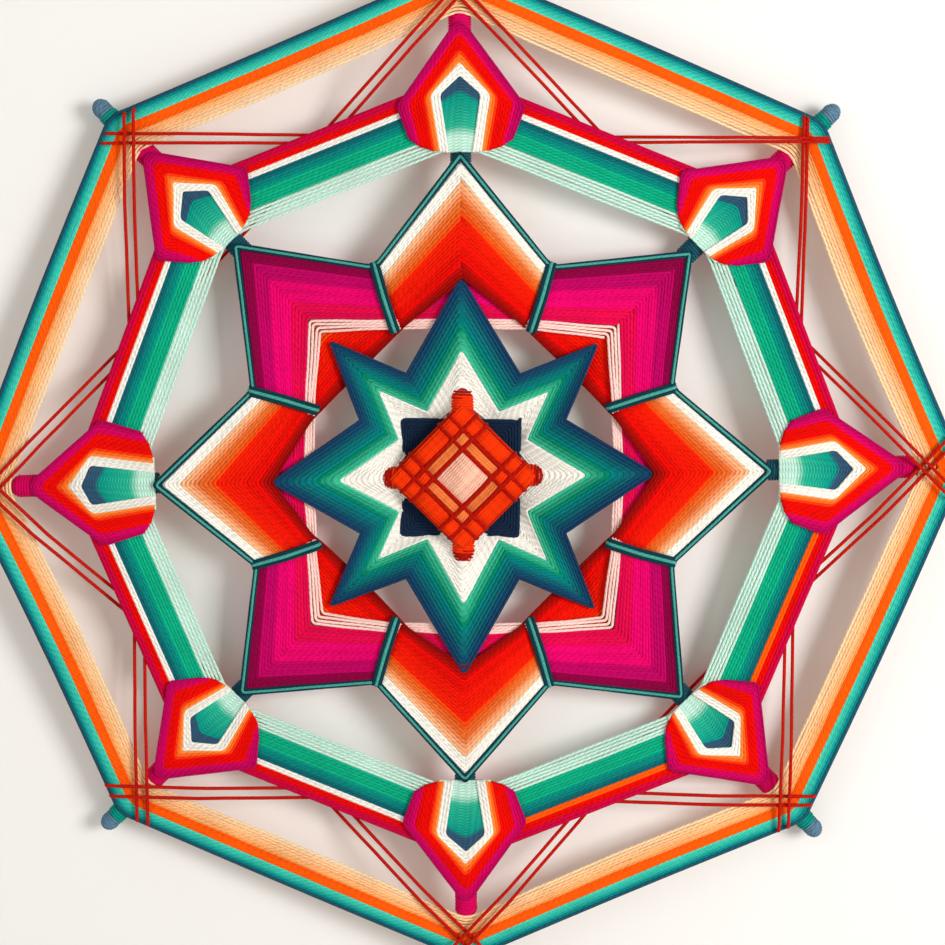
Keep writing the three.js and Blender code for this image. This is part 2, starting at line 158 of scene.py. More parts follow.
class OjoDyes(PropertyGroup):
    """Dyes of the yarns. Some also hold painted shade or a painted highlight, as noted at each."""

    pink: dye("Pink", 252, 208, 198)
    centre_pink: dye("Centre pink", 252, 192, 166)
    peach: dye("Peach", 255, 168, 94)
    cream: dye("Cream", 253, 214, 164)
    centre_peach: dye("Centre peach", 236, 122, 60)
    pale_orange: dye("Pale orange", 255, 136, 52)
    orange: dye("Orange", 255, 92, 6)
    eye_orange: dye("Eye orange", 242, 54, 2)
    red_orange: dye("Red orange", 246, 56, 4)
    red: dye("Red", 232, 5, 0)
    lacing_red: dye("Lacing red", 190, 24, 12)
    eye_red: dye("Eye red", 172, 16, 2)
    # Crimson and dark red are the red yarn darkened next to the star's tips: painted shadow of the
    # tips, darkest on the innermost row.
    crimson: dye("Crimson", 136, 6, 2)
    dark_red: dye("Dark red", 196, 8, 2)
    flame: dye("Flame", 240, 30, 0)
    diamond_orange: dye("Diamond orange", 236, 72, 8)
    diamond_peach: dye("Diamond peach", 234, 110, 42)
    pale_peach: dye("Pale peach", 246, 190, 142)
    rose: dye("Rose", 226, 6, 76)
    hot_pink: dye("Hot pink", 228, 0, 106)
    purple: dye("Purple", 192, 0, 98)
    maroon: dye("Maroon", 138, 0, 62)
    magenta: dye("Magenta", 214, 0, 92)
    ring_magenta: dye("Ring magenta", 204, 0, 60)
    # Plum is the magenta yarn darkened: painted shade on the arrowheads' outermost rows.
    plum: dye("Plum", 176, 0, 84)
    white: dye("White", 241, 237, 226)
    mint: dye("Mint", 196, 234, 216)
    bright_mint: dye("Bright mint", 70, 214, 184)
    green: dye("Green", 10, 172, 130)
    teal: dye("Teal", 0, 138, 138)
    star_mint: dye("Star mint", 62, 186, 146)
    star_green: dye("Star green", 0, 134, 104)
    star_teal: dye("Star teal", 0, 126, 124)
    star_blue: dye("Star blue", 14, 76, 104)
    star_navy: dye("Star navy", 26, 56, 90)
    ring_mint: dye("Ring mint", 44, 182, 148)
    ring_teal: dye("Ring teal", 2, 148, 132)
    deep_teal: dye("Deep teal", 14, 94, 106)
    # The cord's pale teal and dark teal are its two yarns, the pale one with a painted highlight
    # and the dark one with painted shade on the cord's sides.
    cord_teal_and_highlit: dye("Cord teal", 72, 160, 146)
    cord_dark_and_shaded: dye("Cord dark", 14, 56, 68)
    edge_teal: dye("Edge teal", 30, 84, 100)
    chevron: dye("Chevron", 50, 84, 110)
    eye_navy: dye("Eye navy", 22, 40, 64)
    slate: dye("Slate", 96, 130, 152)


def sizes():
    """The sizes as they are set in the scene."""
    return bpy.context.scene.ojo_sizes


def linear(name):
    """A dye's colour as linear light, from its display values by the sRGB curve."""
    shown = Color(getattr(bpy.context.scene.ojo_dyes, name))
    return np.array(shown.from_srgb_to_scene_linear())


def chance(winding, order=0):
    """Random draws for one piece of a winding, from the winding's first number plus the order."""
    return np.random.default_rng(SEEDS[winding] + order)


# Points and paths, as whole arrays

# Most of a straight run that one bend takes up, and the lengths of the waves in a row
BEND_SHARE = 0.45
WAVES = (19 * MM, 37 * MM, 71 * MM)


def stick_lean(arm):
    """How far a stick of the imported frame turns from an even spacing: the angle of the main axis
    of its corners, by their second moments, less the arm's own angle."""
    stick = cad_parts[STICKS[arm]]
    corners = np.empty(3 * len(stick.data.vertices))
    stick.data.vertices.foreach_get("co", corners)
    world = np.array(stick.matrix_world)
    x, _, z = world[:3, :3] @ corners.reshape(-1, 3).T + world[:3, 3:]
    axis = 0.5 * math.atan2(2 * np.mean(x * z), np.mean(x * x) - np.mean(z * z))
    return (axis - arm * EIGHTH + math.pi / 2) % math.pi - math.pi / 2


STICK_COUNT = len(STICKS)
LEANS = np.array([stick_lean(arm % STICK_COUNT) for arm in range(STICK_COUNT + 1)])


def leaned(angle):
    """Angles of the even spacing, each turned by the lean of the sticks on either side."""
    place = np.asarray(angle) / EIGHTH % STICK_COUNT
    return angle + np.interp(place, np.arange(STICK_COUNT + 1), LEANS)


def is_front(arm):
    """Whether an arm belongs to the front cross: its number is even."""
    return np.asarray(arm) % 2 == 0


def stick_depth(arm):
    """Depth of an arm's axis, one for each cross."""
    return np.where(is_front(arm), FRONT_STICK, BACK_STICK)


def seat_depth(arm):
    """Depth of a yarn's centre where the yarn lies on the front of an arm."""
    return stick_depth(arm) + STICK_RADIUS + sizes().seat + sizes().yarn / 2


def between_depth(angle):
    """Depth at an angle of a row that lies on the arms and runs straight in between."""
    place = np.asarray(angle) / EIGHTH
    arm = np.floor(place).astype(int)
    part = place - arm
    return seat_depth(arm) * (1 - part) + seat_depth(arm + 1) * part


def polar(angle, radius, depth):
    """Points by angle, distance from the centre and depth."""
    angle, radius, depth = np.broadcast_arrays(leaned(angle), radius, depth)
    return np.stack([radius * np.cos(angle), -depth, radius * np.sin(angle)], axis=-1)


def arm_point(arm, along, side, depth):
    """Points by distance along an arm and to the arm's left side."""
    angle = np.asarray(arm) * EIGHTH + np.arctan2(side, along)
    return polar(angle, np.hypot(along, side), depth)


def mix(first, last, part):
    """The value that lies a part of the way from first to last."""
    return first + (last - first) * part


def run_lengths(path):
    """Length along each path up to each of its points."""
    steps = np.linalg.norm(np.diff(path[..., :3], axis=1), axis=-1)
    return np.concatenate([np.zeros((len(path), 1)), np.cumsum(steps, axis=1)], axis=1)


def soften(points, reach, counts):
    """Paths with rounded corners. Each inner point becomes a quadratic arc that starts and ends
    reach before and after it, and straight runs join the arcs. counts holds the points within a
    run and in an arc. Columns past the third are carried along, so a point keeps its place in the
    winding."""
    run_count, bend_count = counts
    before = points[:, 1:-1] - points[:, :-2]
    after = points[:, 2:] - points[:, 1:-1]
    before_length = np.linalg.norm(before[..., :3], axis=-1, keepdims=True)
    after_length = np.linalg.norm(after[..., :3], axis=-1, keepdims=True)
    reach = np.broadcast_to(np.asarray(reach)[..., None], before_length.shape)
    start = points[:, 1:-1] - before * np.minimum(reach / before_length, BEND_SHARE)
    end = points[:, 1:-1] + after * np.minimum(reach / after_length, BEND_SHARE)
    t = np.linspace(0.0, 1.0, bend_count)[:, None]
    corner = points[:, 1:-1, None]
    bends = (1 - t) ** 2 * start[:, :, None] + 2 * t * (1 - t) * corner + t**2 * end[:, :, None]
    leave = np.concatenate([points[:, :1], end], axis=1)
    arrive = np.concatenate([start, points[:, -1:]], axis=1)
    part = np.linspace(0.0, 1.0, run_count + 2)[:, None]
    runs = leave[:, :, None] * (1 - part) + arrive[:, :, None] * part
    both = np.concatenate([runs[:, :-1, 1:-1], bends], axis=2)
    middle = both.reshape(len(points), -1, points.shape[-1])
    return np.concatenate([points[:, :1], middle, runs[:, -1, 1:]], axis=1)


def wander(path, amount, rng):
    """Paths moved by slow waves, since no row lies quite straight: a sum of sines of the length,
    with chance phases, in each direction."""
    along = run_lengths(path)[..., None]
    moved = np.zeros_like(path)
    for wave in WAVES:
        phase = rng.uniform(0.0, 2 * np.pi, (len(path), 1, 3))
        moved += np.sin(2 * np.pi * along / wave + phase)
    return path + moved * amount / len(WAVES)


# Tubes: a round profile carried along paths


def tube(path, diameter, colour, reference=VIEWER):
    """Paths of one yarn with its thickness, its dye at each point, and a direction that its
    profile keeps to."""
    colour = np.broadcast_to(colour, path.shape)
    return {"path": path, "diameter": diameter, "colour": colour, "reference": reference}


def sweep(path, diameter, reference, sides):
    """The tube's surface: at each point of the path, a circle in the plane across it."""
    along = np.gradient(path, axis=1)
    along /= np.linalg.norm(along, axis=-1, keepdims=True)
    across = reference - np.sum(reference * along, axis=-1, keepdims=True) * along
    across /= np.linalg.norm(across, axis=-1, keepdims=True)
    up = np.cross(along, across)
    turn = 2 * np.pi * np.arange(sides) / sides
    spokes = np.cos(turn)[:, None] * across[:, :, None] + np.sin(turn)[:, None] * up[:, :, None]
    radius = np.broadcast_to(diameter, path.shape[:2]) / 2
    return path[:, :, None] + radius[:, :, None, None] * spokes


def tube_parts(one, sides, first):
    """Corners, dyes, quads, end caps and UV of one set of tubes. U is the length along the yarn
    in millimetres and V goes once round it."""
    path = one["path"]
    count, points = path.shape[:2]
    corners = sweep(path, one["diameter"], one["reference"], sides)
    index = first + np.arange(count * points * sides).reshape(count, points, sides)
    beside = np.roll(index, -1, axis=2)
    quads = np.stack([index[:, :-1], beside[:, :-1], beside[:, 1:], index[:, 1:]], axis=-1)
    caps = np.concatenate([index[:, 0, ::-1], index[:, -1]])
    along = run_lengths(path)[:, :, None] / MM + np.zeros(sides)
    u = np.stack([along[:, :-1], along[:, :-1], along[:, 1:], along[:, 1:]], axis=-1)
    around = np.arange(sides) / sides
    v = np.stack([around, around + 1 / sides, around + 1 / sides, around], axis=-1)
    uv = np.stack([u, np.broadcast_to(v, u.shape)], axis=-1)
    dyes = np.repeat(one["colour"].reshape(-1, 3), sides, axis=0)
    return corners.reshape(-1, 3), dyes, quads.reshape(-1, 4), caps, uv.reshape(-1, 2)


def tube_mesh(name, tubes):
    """One mesh of all the tubes, with the attribute dye and the UV map yarn."""
    sides = sizes().sides
    made = []
    first = 0
    for one in tubes:
        parts = tube_parts(one, sides, first)
        first += len(parts[0])
        made.append(parts)
    corners, dyes, quads, caps, uv = (np.concatenate(column) for column in zip(*made))
    mesh = bpy.data.meshes.new(name)
    mesh.vertices.add(len(corners))
    mesh.vertices.foreach_set("co", corners.astype(np.float32).ravel())
    loops = np.concatenate([quads.ravel(), caps.ravel()])
    mesh.loops.add(len(loops))
    mesh.loops.foreach_set("vertex_index", loops.astype(np.int32))
    starts = np.concatenate([4 * np.arange(len(quads)),
                             quads.size + sides * np.arange(len(caps))])
    mesh.polygons.add(len(starts))
    mesh.polygons.foreach_set("loop_start", starts.astype(np.int32))
    mesh.polygons.foreach_set("use_smooth", np.ones(len(starts), dtype=bool))
    mesh.update(calc_edges=True)
    layer = mesh.uv_layers.new(name="yarn")
    all_uv = np.concatenate([uv, np.zeros((caps.size, 2))])
    layer.data.foreach_set("uv", all_uv.astype(np.float32).ravel())
    attribute = mesh.attributes.new("dye", "FLOAT_COLOR", "POINT")
    rgba = np.concatenate([dyes, np.ones((len(dyes), 1))], axis=1)
    attribute.data.foreach_set("color", rgba.astype(np.float32).ravel())
    mesh.validate()
    return mesh


def add_piece(name, tubes, nodes, material):
    """A finished piece: it rides on the one body and stands for its CAD nodes."""
    mesh = tube_mesh(name, tubes)
    mesh.materials.append(material)
    piece = bpy.data.objects.new(name, mesh)
    bpy.context.scene.collection.objects.link(piece)
    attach(piece, "root")
    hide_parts(*nodes)


# Materials

NOISE_LIMITS = (0.3, 0.7)
# Painted shade in the grooves between the plies, and a little painted light on their crowns
PLY_GROOVE_SHADES = (0.86, 1.06)
PLY_HEIGHT = 0.5
PATCH_SHADES = (0.94, 1.06)
FIBRE_STRETCH = (1.1, 6.0, 1.0)
GRAIN_STRETCH = (30.0, 900.0, 900.0)
WOOD_TONES = ((0.35, (0.30, 0.17, 0.08, 1.0)), (0.65, (0.52, 0.34, 0.18, 1.0)))


def fill(tree, node, values):
    """Gives a node's inputs, by name or place, their values or the outputs of other nodes."""
    for key, value in values.items():
        if isinstance(value, NodeSocket):
            tree.links.new(value, node.inputs[key])
        else:
            node.inputs[key].default_value = value


def add_node(tree, kind, values=(), **settings):
    """A shader node with its settings and inputs, by its outputs."""
    node = tree.nodes.new(kind)
    for key, value in settings.items():
        setattr(node, key, value)
    fill(tree, node, dict(values))
    return node.outputs


def figure(tree, operation, *values):
    """One sum or function of values and of other nodes' outputs."""
    return add_node(tree, "ShaderNodeMath", enumerate(values), operation=operation)[0]


def noise(tree, place, **values):
    """Smooth noise, by the place that it is read at."""
    return add_node(tree, "ShaderNodeTexNoise", {"Vector": place, **values})["Fac"]


def stretched(tree, place, scale):
    """A place times a scale for each axis: a pattern is drawn out where its scale is small."""
    return add_node(tree, "ShaderNodeMapping", {"Vector": place, "Scale": scale})["Vector"]


def shaded(tree, value, limits, shades):
    """A value's limits taken to a darker and a lighter shade."""
    values = {"Value": value, "From Min": limits[0], "From Max": limits[1],
              "To Min": shades[0], "To Max": shades[1]}
    return add_node(tree, "ShaderNodeMapRange", values)[0]


def relief(tree, height, strength, rise):
    """A fine bump that follows a height."""
    values = {"Height": height, "Strength": strength, "Distance": rise}
    return add_node(tree, "ShaderNodeBump", values)["Normal"]


def new_material(name):
    """A material, with its tree of nodes and its shader."""
    material = bpy.data.materials.new(name)
    material.use_nodes = True
    tree = material.node_tree
    return material, tree, tree.nodes["Principled BSDF"]


def yarn_material(name, twist, plies, streak):
    """Spun yarn. Its plies wind round it as the sine of U over the twist length plus V, and loose
    fibres are noise drawn out along U. The plies darken the dye in the grooves between them, a
    painted shade, and the fibres shade it at random; both raise a fine relief, and slow noise
    in space makes the dye a little patchy."""
    material, tree, shader = new_material(name)
    place = add_node(tree, "ShaderNodeUVMap", uv_map="yarn")["UV"]
    split = add_node(tree, "ShaderNodeSeparateXYZ", {"Vector": place})
    around = figure(tree, "MULTIPLY", split["Y"], 2 * math.pi * plies)
    phase = figure(tree, "MULTIPLY_ADD", split["X"], 2 * math.pi / twist, around)
    ply = figure(tree, "SINE", phase)
    drawn = stretched(tree, place, FIBRE_STRETCH)
    fibre = noise(tree, drawn, Scale=1.0, Detail=3.0, Roughness=0.6)
    space = add_node(tree, "ShaderNodeTexCoord")["Object"]
    patch = noise(tree, space, Scale=70.0, Detail=2.0)
    fibre_shade = shaded(tree, fibre, NOISE_LIMITS, (1.0 - streak, 1.0 + streak))
    # The plies' painted shade in their grooves and painted light on their crowns
    ply_groove_shade = shaded(tree, ply, (-1.0, 1.0), PLY_GROOVE_SHADES)
    patch_shade = shaded(tree, patch, NOISE_LIMITS, PATCH_SHADES)
    shade = figure(tree, "MULTIPLY", fibre_shade, ply_groove_shade)
    shade = figure(tree, "MULTIPLY", shade, patch_shade)
    dyed = add_node(tree, "ShaderNodeAttribute", attribute_name="dye")["Color"]
    colour = add_node(tree, "ShaderNodeVectorMath", {0: dyed, "Scale": shade}, operation="SCALE")
    height = figure(tree, "MULTIPLY_ADD", ply, PLY_HEIGHT, fibre)
    fill(tree, shader, {
        "Base Color": colour[0],
        "Normal": relief(tree, height, strength=0.5, rise=0.15 * MM),
        "Roughness": 0.85,
        "Specular IOR Level": 0.06,
        "Sheen Weight": 0.03,
        "Sheen Roughness": 0.45,
    })
    return material


def wood_material(name, arm):
    """Dowel wood: noise drawn out along the stick gives the grain, dark lines over a pale body."""
    material, tree, shader = new_material(name)
    place = add_node(tree, "ShaderNodeTexCoord")["Object"]
    turn = (0.0, leaned(arm * EIGHTH), 0.0)
    turned = add_node(tree, "ShaderNodeMapping", {"Vector": place, "Rotation": turn})["Vector"]
    drawn = stretched(tree, turned, GRAIN_STRETCH)
    grain = noise(tree, drawn, Scale=1.0, Detail=5.0, Roughness=0.6)
    ramp = tree.nodes.new("ShaderNodeValToRGB")
    for element, (position, tone) in zip(ramp.color_ramp.elements, WOOD_TONES):
        element.position = position
        element.color = tone
    fill(tree, ramp, {"Fac": grain})
    fill(tree, shader, {
        "Base Color": ramp.outputs["Color"],
        "Normal": relief(tree, grain, strength=0.3, rise=0.1 * MM),
        "Roughness": 0.6,
    })
    return material


def wool():
    """The material of the wound rows."""
    made = bpy.data.materials.get("wool_yarn")
    return made or yarn_material("wool_yarn", twist=2.4, plies=2, streak=0.2)


def cord_yarn():
    """The material of the edging cord, the bindings and the lacing, with a closer twist."""
    made = bpy.data.materials.get("twisted_cord")
    return made or yarn_material("twisted_cord", twist=2.0, plies=2, streak=0.2)


# Wraps round the sticks

WRAP_TURN = math.radians(112)
WRAP_COUNT = 9
# A coil's pitch and the height of its middle over the core, in yarns, and its points in a turn
COIL_PITCH = 0.96
COIL_HEIGHT = 0.45
COIL_COUNT = 12
# The same for a closing coil, with the angle of the ellipse at which it stops
CLOSING_PITCH = 0.85
CLOSING_COUNT = 14
CLOSING_TURN = 0.47 * math.pi


def outward(arm):
    """Direction along each arm, one for each path."""
    return arm_point(np.atleast_1d(arm), 1.0, 0.0, 0.0)[:, None]


def half_wraps(arms, radii, dyes):
    """Arcs behind the sticks, where each row goes round its stick: a circle about the arm, from
    one flank round the back to the other."""
    yarn = sizes().yarn
    turn = np.linspace(-WRAP_TURN, WRAP_TURN, WRAP_COUNT)
    reach = STICK_RADIUS + yarn / 2
    depth = stick_depth(arms)[:, None] - reach * np.cos(turn)
    path = arm_point(arms[:, None], radii[:, None], reach * np.sin(turn), depth)
    return tube(path, yarn, dyes[:, None], outward(arms))


def coil(arm, along, reach, angle, name):
    """A yarn round an arm, by its distance along the arm, its reach from the stick's axis and the
    angle that it has turned through."""
    depth = stick_depth(arm) + reach * np.cos(angle)
    path = arm_point(arm, along, reach * np.sin(angle), depth)[None]
    return tube(path, sizes().yarn, linear(name), outward(arm))


def stick_coil(arm, start, end, core, name):
    """A close coil round an arm: a helix about the stick with one yarn's width a turn."""
    yarn = sizes().yarn
    turns = (end - start) / (COIL_PITCH * yarn)
    part = np.linspace(0.0, 1.0, int(COIL_COUNT * turns) + 1)
    reach = core + COIL_HEIGHT * yarn
    return coil(arm, mix(start, end, part), reach, 2 * np.pi * turns * part, name)


def closed_tip(arm, start, end, core, name):
    """A coil that closes in on the stick: its radius falls as a quarter ellipse. Its turns lie a
    yarn's width apart on that curve."""
    yarn = sizes().yarn
    body = core + COIL_HEIGHT * yarn
    turns = int(math.hypot(end - start, body) / (CLOSING_PITCH * yarn))
    part = np.linspace(0.0, 1.0, CLOSING_COUNT * turns + 1)
    along = start + (end - start) * np.sin(0.5 * np.pi * part)
    return coil(arm, along, body * np.cos(CLOSING_TURN * part), 2 * np.pi * turns * part, name)


def capped_coil(arm, start, turn, end, core, body, cap):
    """A coil from start to turn, closed in from there to end, with the dyes of both."""
    return [stick_coil(arm, start, turn, core, body),
            closed_tip(arm, turn - sizes().yarn, end, core, cap)]


# Windings: spirals of several colours

# Width of a tight row against its spacing, and how far the rows in between lie below the others
PLUMP = 1.14
UNDER = 0.36
ROW_CHANCE = 0.045
ROW_COUNTS = (4, 5)
UNDER_COUNTS = (1, 4)
# A length of other yarn joined on in a band: its dye, and the angles from and to which it runs
JOINS = {"ring_white": ("orange", 1.5 * math.pi, 2 * math.pi)}


def row_dyes(shade, row, rng):
    """Dye of each point by its row: from the first dye to the last, with each row a little
    lighter or darker by chance."""
    part = row / max(shade.rows - 1, 1)
    light = rng.normal(1.0, ROW_CHANCE, shade.rows + 1)
    plain = mix(linear(shade.first), linear(shade.last), part[..., None])
    return np.clip(plain * light[row.astype(int)][..., None], 0.0, 1.0)


def joined(dyes, path, node):
    """Dyes of a band's points, with those of the yarn that is joined on."""
    if node not in JOINS:
        return dyes
    name, first, last = JOINS[node]
    angle = np.arctan2(path[..., 2], path[..., 0]) % (2 * np.pi)
    return np.where(((angle > first) & (angle < last))[..., None], linear(name), dyes)


def band_row(turn, first_turn, band):
    """Row of a band at a place in the winding, counted from the band's own first row."""
    return np.clip(np.floor(turn) - first_turn, 0, band.rows - 1)


def lay_band(band, first_turn, points, turn, reach, counts, rng):
    """A band's path through its points, with the dye of each point."""
    path = soften(np.concatenate([points, turn[:, None]], axis=1)[None], reach, counts)
    dyes = row_dyes(band, band_row(path[..., 3], first_turn, band), rng)
    return path[..., :3], joined(dyes, path, band.node)


def wind(winding, bands, start, turn_points, place, corner, reach, loose="", closing=0.0):
    """Lays a spiral outwards from start. place gives the points of the steps at their distances,
    corner gives the steps that go round a stick with their arms and radii, and reach rounds the
    bends. Between the rows of a tight band lie others, a little lower. The rows of a loose band
    close up outwards by a square law. Each band is a piece of its own."""
    given = sizes()
    turn_edges = np.concatenate([[0], np.cumsum([band.rows for band in bands])])
    edges = start + np.concatenate([[0], np.cumsum([band.width for band in bands])]) * MM
    for order, band in enumerate(bands):
        rng = chance(winding, order)
        first_turn, last_turn = turn_edges[order], turn_edges[order + 1]
        steps = np.arange(first_turn * turn_points, last_turn * turn_points + 1)
        turn = steps / turn_points
        lay = np.interp(turn, turn_edges, edges)
        bends = reach(steps[1:-1])
        is_loose = band.node == loose
        if is_loose:
            part = (turn - first_turn) / band.rows
            lay += closing * part * (1 - part) * band.width * MM
        sway = given.loose_sway if is_loose else given.sway
        width = given.yarn if is_loose else given.yarn * PLUMP
        points = place(steps, lay)
        path, dyes = lay_band(band, first_turn, points, turn, bends, ROW_COUNTS, rng)
        tubes = [tube(wander(path, sway, rng), width, dyes)]
        chosen, arms, radii = corner(steps, lay)
        row = band_row(turn[chosen], first_turn, band)
        tubes.append(half_wraps(arms, radii, row_dyes(band, row, rng)))
        if not is_loose:
            points = place(steps, lay + band.width * MM / band.rows / 2)
            path, dyes = lay_band(band, first_turn, points, turn, bends, UNDER_COUNTS, rng)
            tubes.append(tube(path - VIEWER * UNDER * given.yarn, width, dyes))
        add_piece(f"{band.node}_rows", tubes, [band.node], wool())


# The square and the diamond

SQUARE = colour_bands("square", (
    ("pink", 4, "pink", "pink", 4.6),
    ("rose", 5, "rose", "rose", 5.7),
    ("hot_pink", 7, "hot_pink", "hot_pink", 7.3),
    ("purple", 5, "purple", "purple", 5.6),
    ("maroon", 4, "maroon", "maroon", 4.0),
))
DIAMOND = colour_bands("diamond", (
    # The crimson rows are red yarn with the star tips' shadow painted on, darkest at the inner
    # row.
    ("crimson", 4, "crimson", "dark_red", 3.8),
    ("red", 10, "red", "flame", 10.4),
    ("orange", 3, "diamond_orange", "diamond_peach", 3.4),
    ("peach", 5, "diamond_peach", "pale_peach", 5.4),
    ("white", 4, "white", "white", 4.0),
))
FRAMES = {"square": SQUARE, "diamond": DIAMOND}
FIRST_ARMS = {"square": 1, "diamond": 2}
SIDE_POINTS = 6
FRAME_POINTS = 4 * SIDE_POINTS
FRAME_REACHES = (1.2 * MM, 2.5 * MM)
CHANGEOVER = 4 * MM
CORNER_STRETCHES = np.array([1.0, 1.0, 1.037, 1.02, 1.0, 1.0, 1.0, 1.0])
# Dark, pale, dark: the cord's own teals, with a painted highlight on the middle strand and painted
# shade on the outer two
CORD_LIT_AND_SHADED_DYES = ("cord_dark_and_shaded", "cord_teal_and_highlit", "cord_dark_and_shaded")
CORD_CROWN = 0.35 * MM
EDGING_LIFT = 0.5 * MM
EDGING_STEP = 0.85
EDGING_COUNTS = (10, 5)
FRAME_COILS = {"square": (106.5 * MM, 113.5 * MM), "diamond": (104.0 * MM, 109.8 * MM)}
FRAME_COIL_CORE = 2.8 * MM


def frame_start(kind):
    """Half the side of a frame's inner row, by its corners."""
    return getattr(sizes(), f"{kind}_start")


def corner_lay(arm, lay):
    """Distance of a row's corner: two corners are drawn out along their arms."""
    return lay * CORNER_STRETCHES[arm % ARMS]


def frame_place(kind, lift=0.0):
    """Points of a frame's side by their spots: the corner on its own arm is 0, the crossings are
    1 and 2 and then 4 and 5, and the arm that the side passes is 3. Rows are closer together at
    the crossings. The corners lie in the upper layer and the middle of a side in the lower one."""
    given = sizes()
    waist_start = getattr(given, f"{kind}_waist_start")
    waist = getattr(given, f"{kind}_waist")
    middle = getattr(given, f"{kind}_middle")

    def place(steps, lay):
        side, spot = np.divmod(steps, SIDE_POINTS)
        arm = FIRST_ARMS[kind] + 2 * side
        corner = corner_lay(arm, lay)
        drawn_in = waist_start + (lay - frame_start(kind)) * np.where(spot == 3, middle, waist)
        across = np.where(spot == 0, corner, drawn_in)
        change = drawn_in * math.tan(SIXTEENTH)
        half = CHANGEOVER / 2
        along = np.choose(spot, [-corner, -change - half, half - change, 0 * lay, change - half,
                                 change + half])
        angle = (arm + 1) * EIGHTH + np.arctan2(along, across)
        upper = (spot < 2) | (spot == 5)
        depth = between_depth(angle) + np.where(upper, given.layer, 0.0) + lift
        return polar(angle, np.hypot(along, across), depth)

    return place


def frame_corner(kind):
    """Where a frame's rows go round its sticks: at the first spot of each side, which lies half
    the side times the square root of two from the centre."""

    def corner(steps, lay):
        chosen = steps % SIDE_POINTS == 0
        arm = FIRST_ARMS[kind] + 2 * (steps[chosen] // SIDE_POINTS)
        return chosen, arm, corner_lay(arm, lay[chosen]) * math.sqrt(2)

    return corner


def frame_reach(steps):
    """Bends of a frame's rows: tighter at the corners than at the crossings."""
    return np.where(steps % SIDE_POINTS == 0, *FRAME_REACHES)


def wind_edging(kind, bands):
    """The cord that edges a frame, three yarns side by side outside its last row with the middle
    one a little higher, and the coils on the sticks past the frame's corners. The paler middle
    yarn holds a painted highlight and the darker outer two painted shade, besides the cord's
    own two teals."""
    yarn = sizes().cord
    start = frame_start(kind) + sum(band.width for band in bands) * MM
    place = frame_place(kind, EDGING_LIFT)
    steps = np.arange(FRAME_POINTS + 1)
    tubes = []
    for order, name in enumerate(CORD_LIT_AND_SHADED_DYES):
        lay = np.full(len(steps), start + yarn * EDGING_STEP * (order + 0.5))
        path = soften(place(steps, lay)[None], frame_reach(steps[1:-1]), EDGING_COUNTS)
        path = path + VIEWER * CORD_CROWN * (order == 1)
        path = wander(path, sizes().sway, chance("edging", order))
        tubes.append(tube(path, yarn, linear(name)))
    for arm in FIRST_ARMS[kind] + np.arange(0, ARMS, 2):
        tubes.append(stick_coil(arm % ARMS, *FRAME_COILS[kind], FRAME_COIL_CORE, "edge_teal"))
    node = f"{kind}_teal"
    add_piece(f"{node}_strands", tubes, [node], cord_yarn())


# The ring and the outer band

RING = colour_bands("ring", (
    ("mint", 5, "mint", "mint", 6.3),
    ("green", 5, "green", "green", 5.6),
    ("teal", 5, "ring_teal", "deep_teal", 4.9),
    ("white", 2, "white", "white", 2.2),
    ("red", 2, "red", "red", 2.3),
    ("magenta", 2, "ring_magenta", "ring_magenta", 2.4),
))
BAND = colour_bands("band", (
    ("peach", 7, "cream", "peach", 9.1),
    ("orange", 5, "orange", "orange", 4.8),
    ("mint", 5, "bright_mint", "teal", 5.4),
    ("navy", 1, "edge_teal", "edge_teal", 1.3),
))
RING_REACHES = (8 * MM, 3 * MM)
RING_ROUNDED_ROWS = 14
RING_BACK_SHIFT = 2.5 * MM
CENTRE_RISE = 1.0 * MM
BAND_REACHES = (4 * MM, 40 * MM)
BAND_OUTER = 170.8 * MM
BAND_ARM_OUTER = 170.3 * MM
BAND_PINCH = 0.74
BAND_BOW = 0.04
BAND_CLOSING = 0.3


def ring_radius(steps, lay):
    """Where a row of the ring lies on each arm: the ring sits a little high, and farther out on
    the back cross."""
    rise = CENTRE_RISE * np.sin(steps * EIGHTH)
    return lay + rise + np.where(is_front(steps), 0, RING_BACK_SHIFT)


def ring_place(steps, lay):
    """Points of the ring: one on each arm, resting on its stick."""
    return polar(steps * EIGHTH, ring_radius(steps, lay), seat_depth(steps))


def ring_corner(steps, lay):
    """Where the ring's rows go round the sticks: at every step."""
    return np.ones(len(steps), dtype=bool), steps, ring_radius(steps, lay)


def ring_reach(steps):
    """Bends of the ring's rows: wide on the first ones and tighter on each one outside them."""
    return np.interp(steps / ARMS, [0, RING_ROUNDED_ROWS], RING_REACHES)


def band_radius(angle, lay):
    """Where a row of the outer band crosses an arm: the rows are drawn together there."""
    return BAND_ARM_OUTER - BAND_PINCH * (BAND_OUTER - lay) + CENTRE_RISE * np.sin(angle)


def band_place(steps, lay):
    """Points of the outer band, on each arm and halfway between the arms, where the inner rows
    hang in towards the centre."""
    angle = steps * SIXTEENTH
    on_arm = band_radius(angle, lay)
    halfway = on_arm * math.cos(SIXTEENTH) - BAND_BOW * (BAND_OUTER - lay)
    return polar(angle, np.where(steps % 2 == 0, on_arm, halfway), between_depth(angle))


def band_corner(steps, lay):
    """Where the outer band's rows go round the sticks: at every other step."""
    chosen = steps % 2 == 0
    return chosen, steps[chosen] // 2, band_radius(steps * SIXTEENTH, lay)[chosen]


def band_reach(steps):
    """Bends of the outer band's rows: tight on the arms and wide halfway between them."""
    return np.where(steps % 2 == 0, *BAND_REACHES)


# The star

STAR = colour_bands("star", (
    ("white", 9, "white", "white"),
    ("green", 4, "star_mint", "star_green"),
    ("teal", 4, "star_teal", "deep_teal"),
    ("navy", 3, "star_blue", "star_navy"),
))
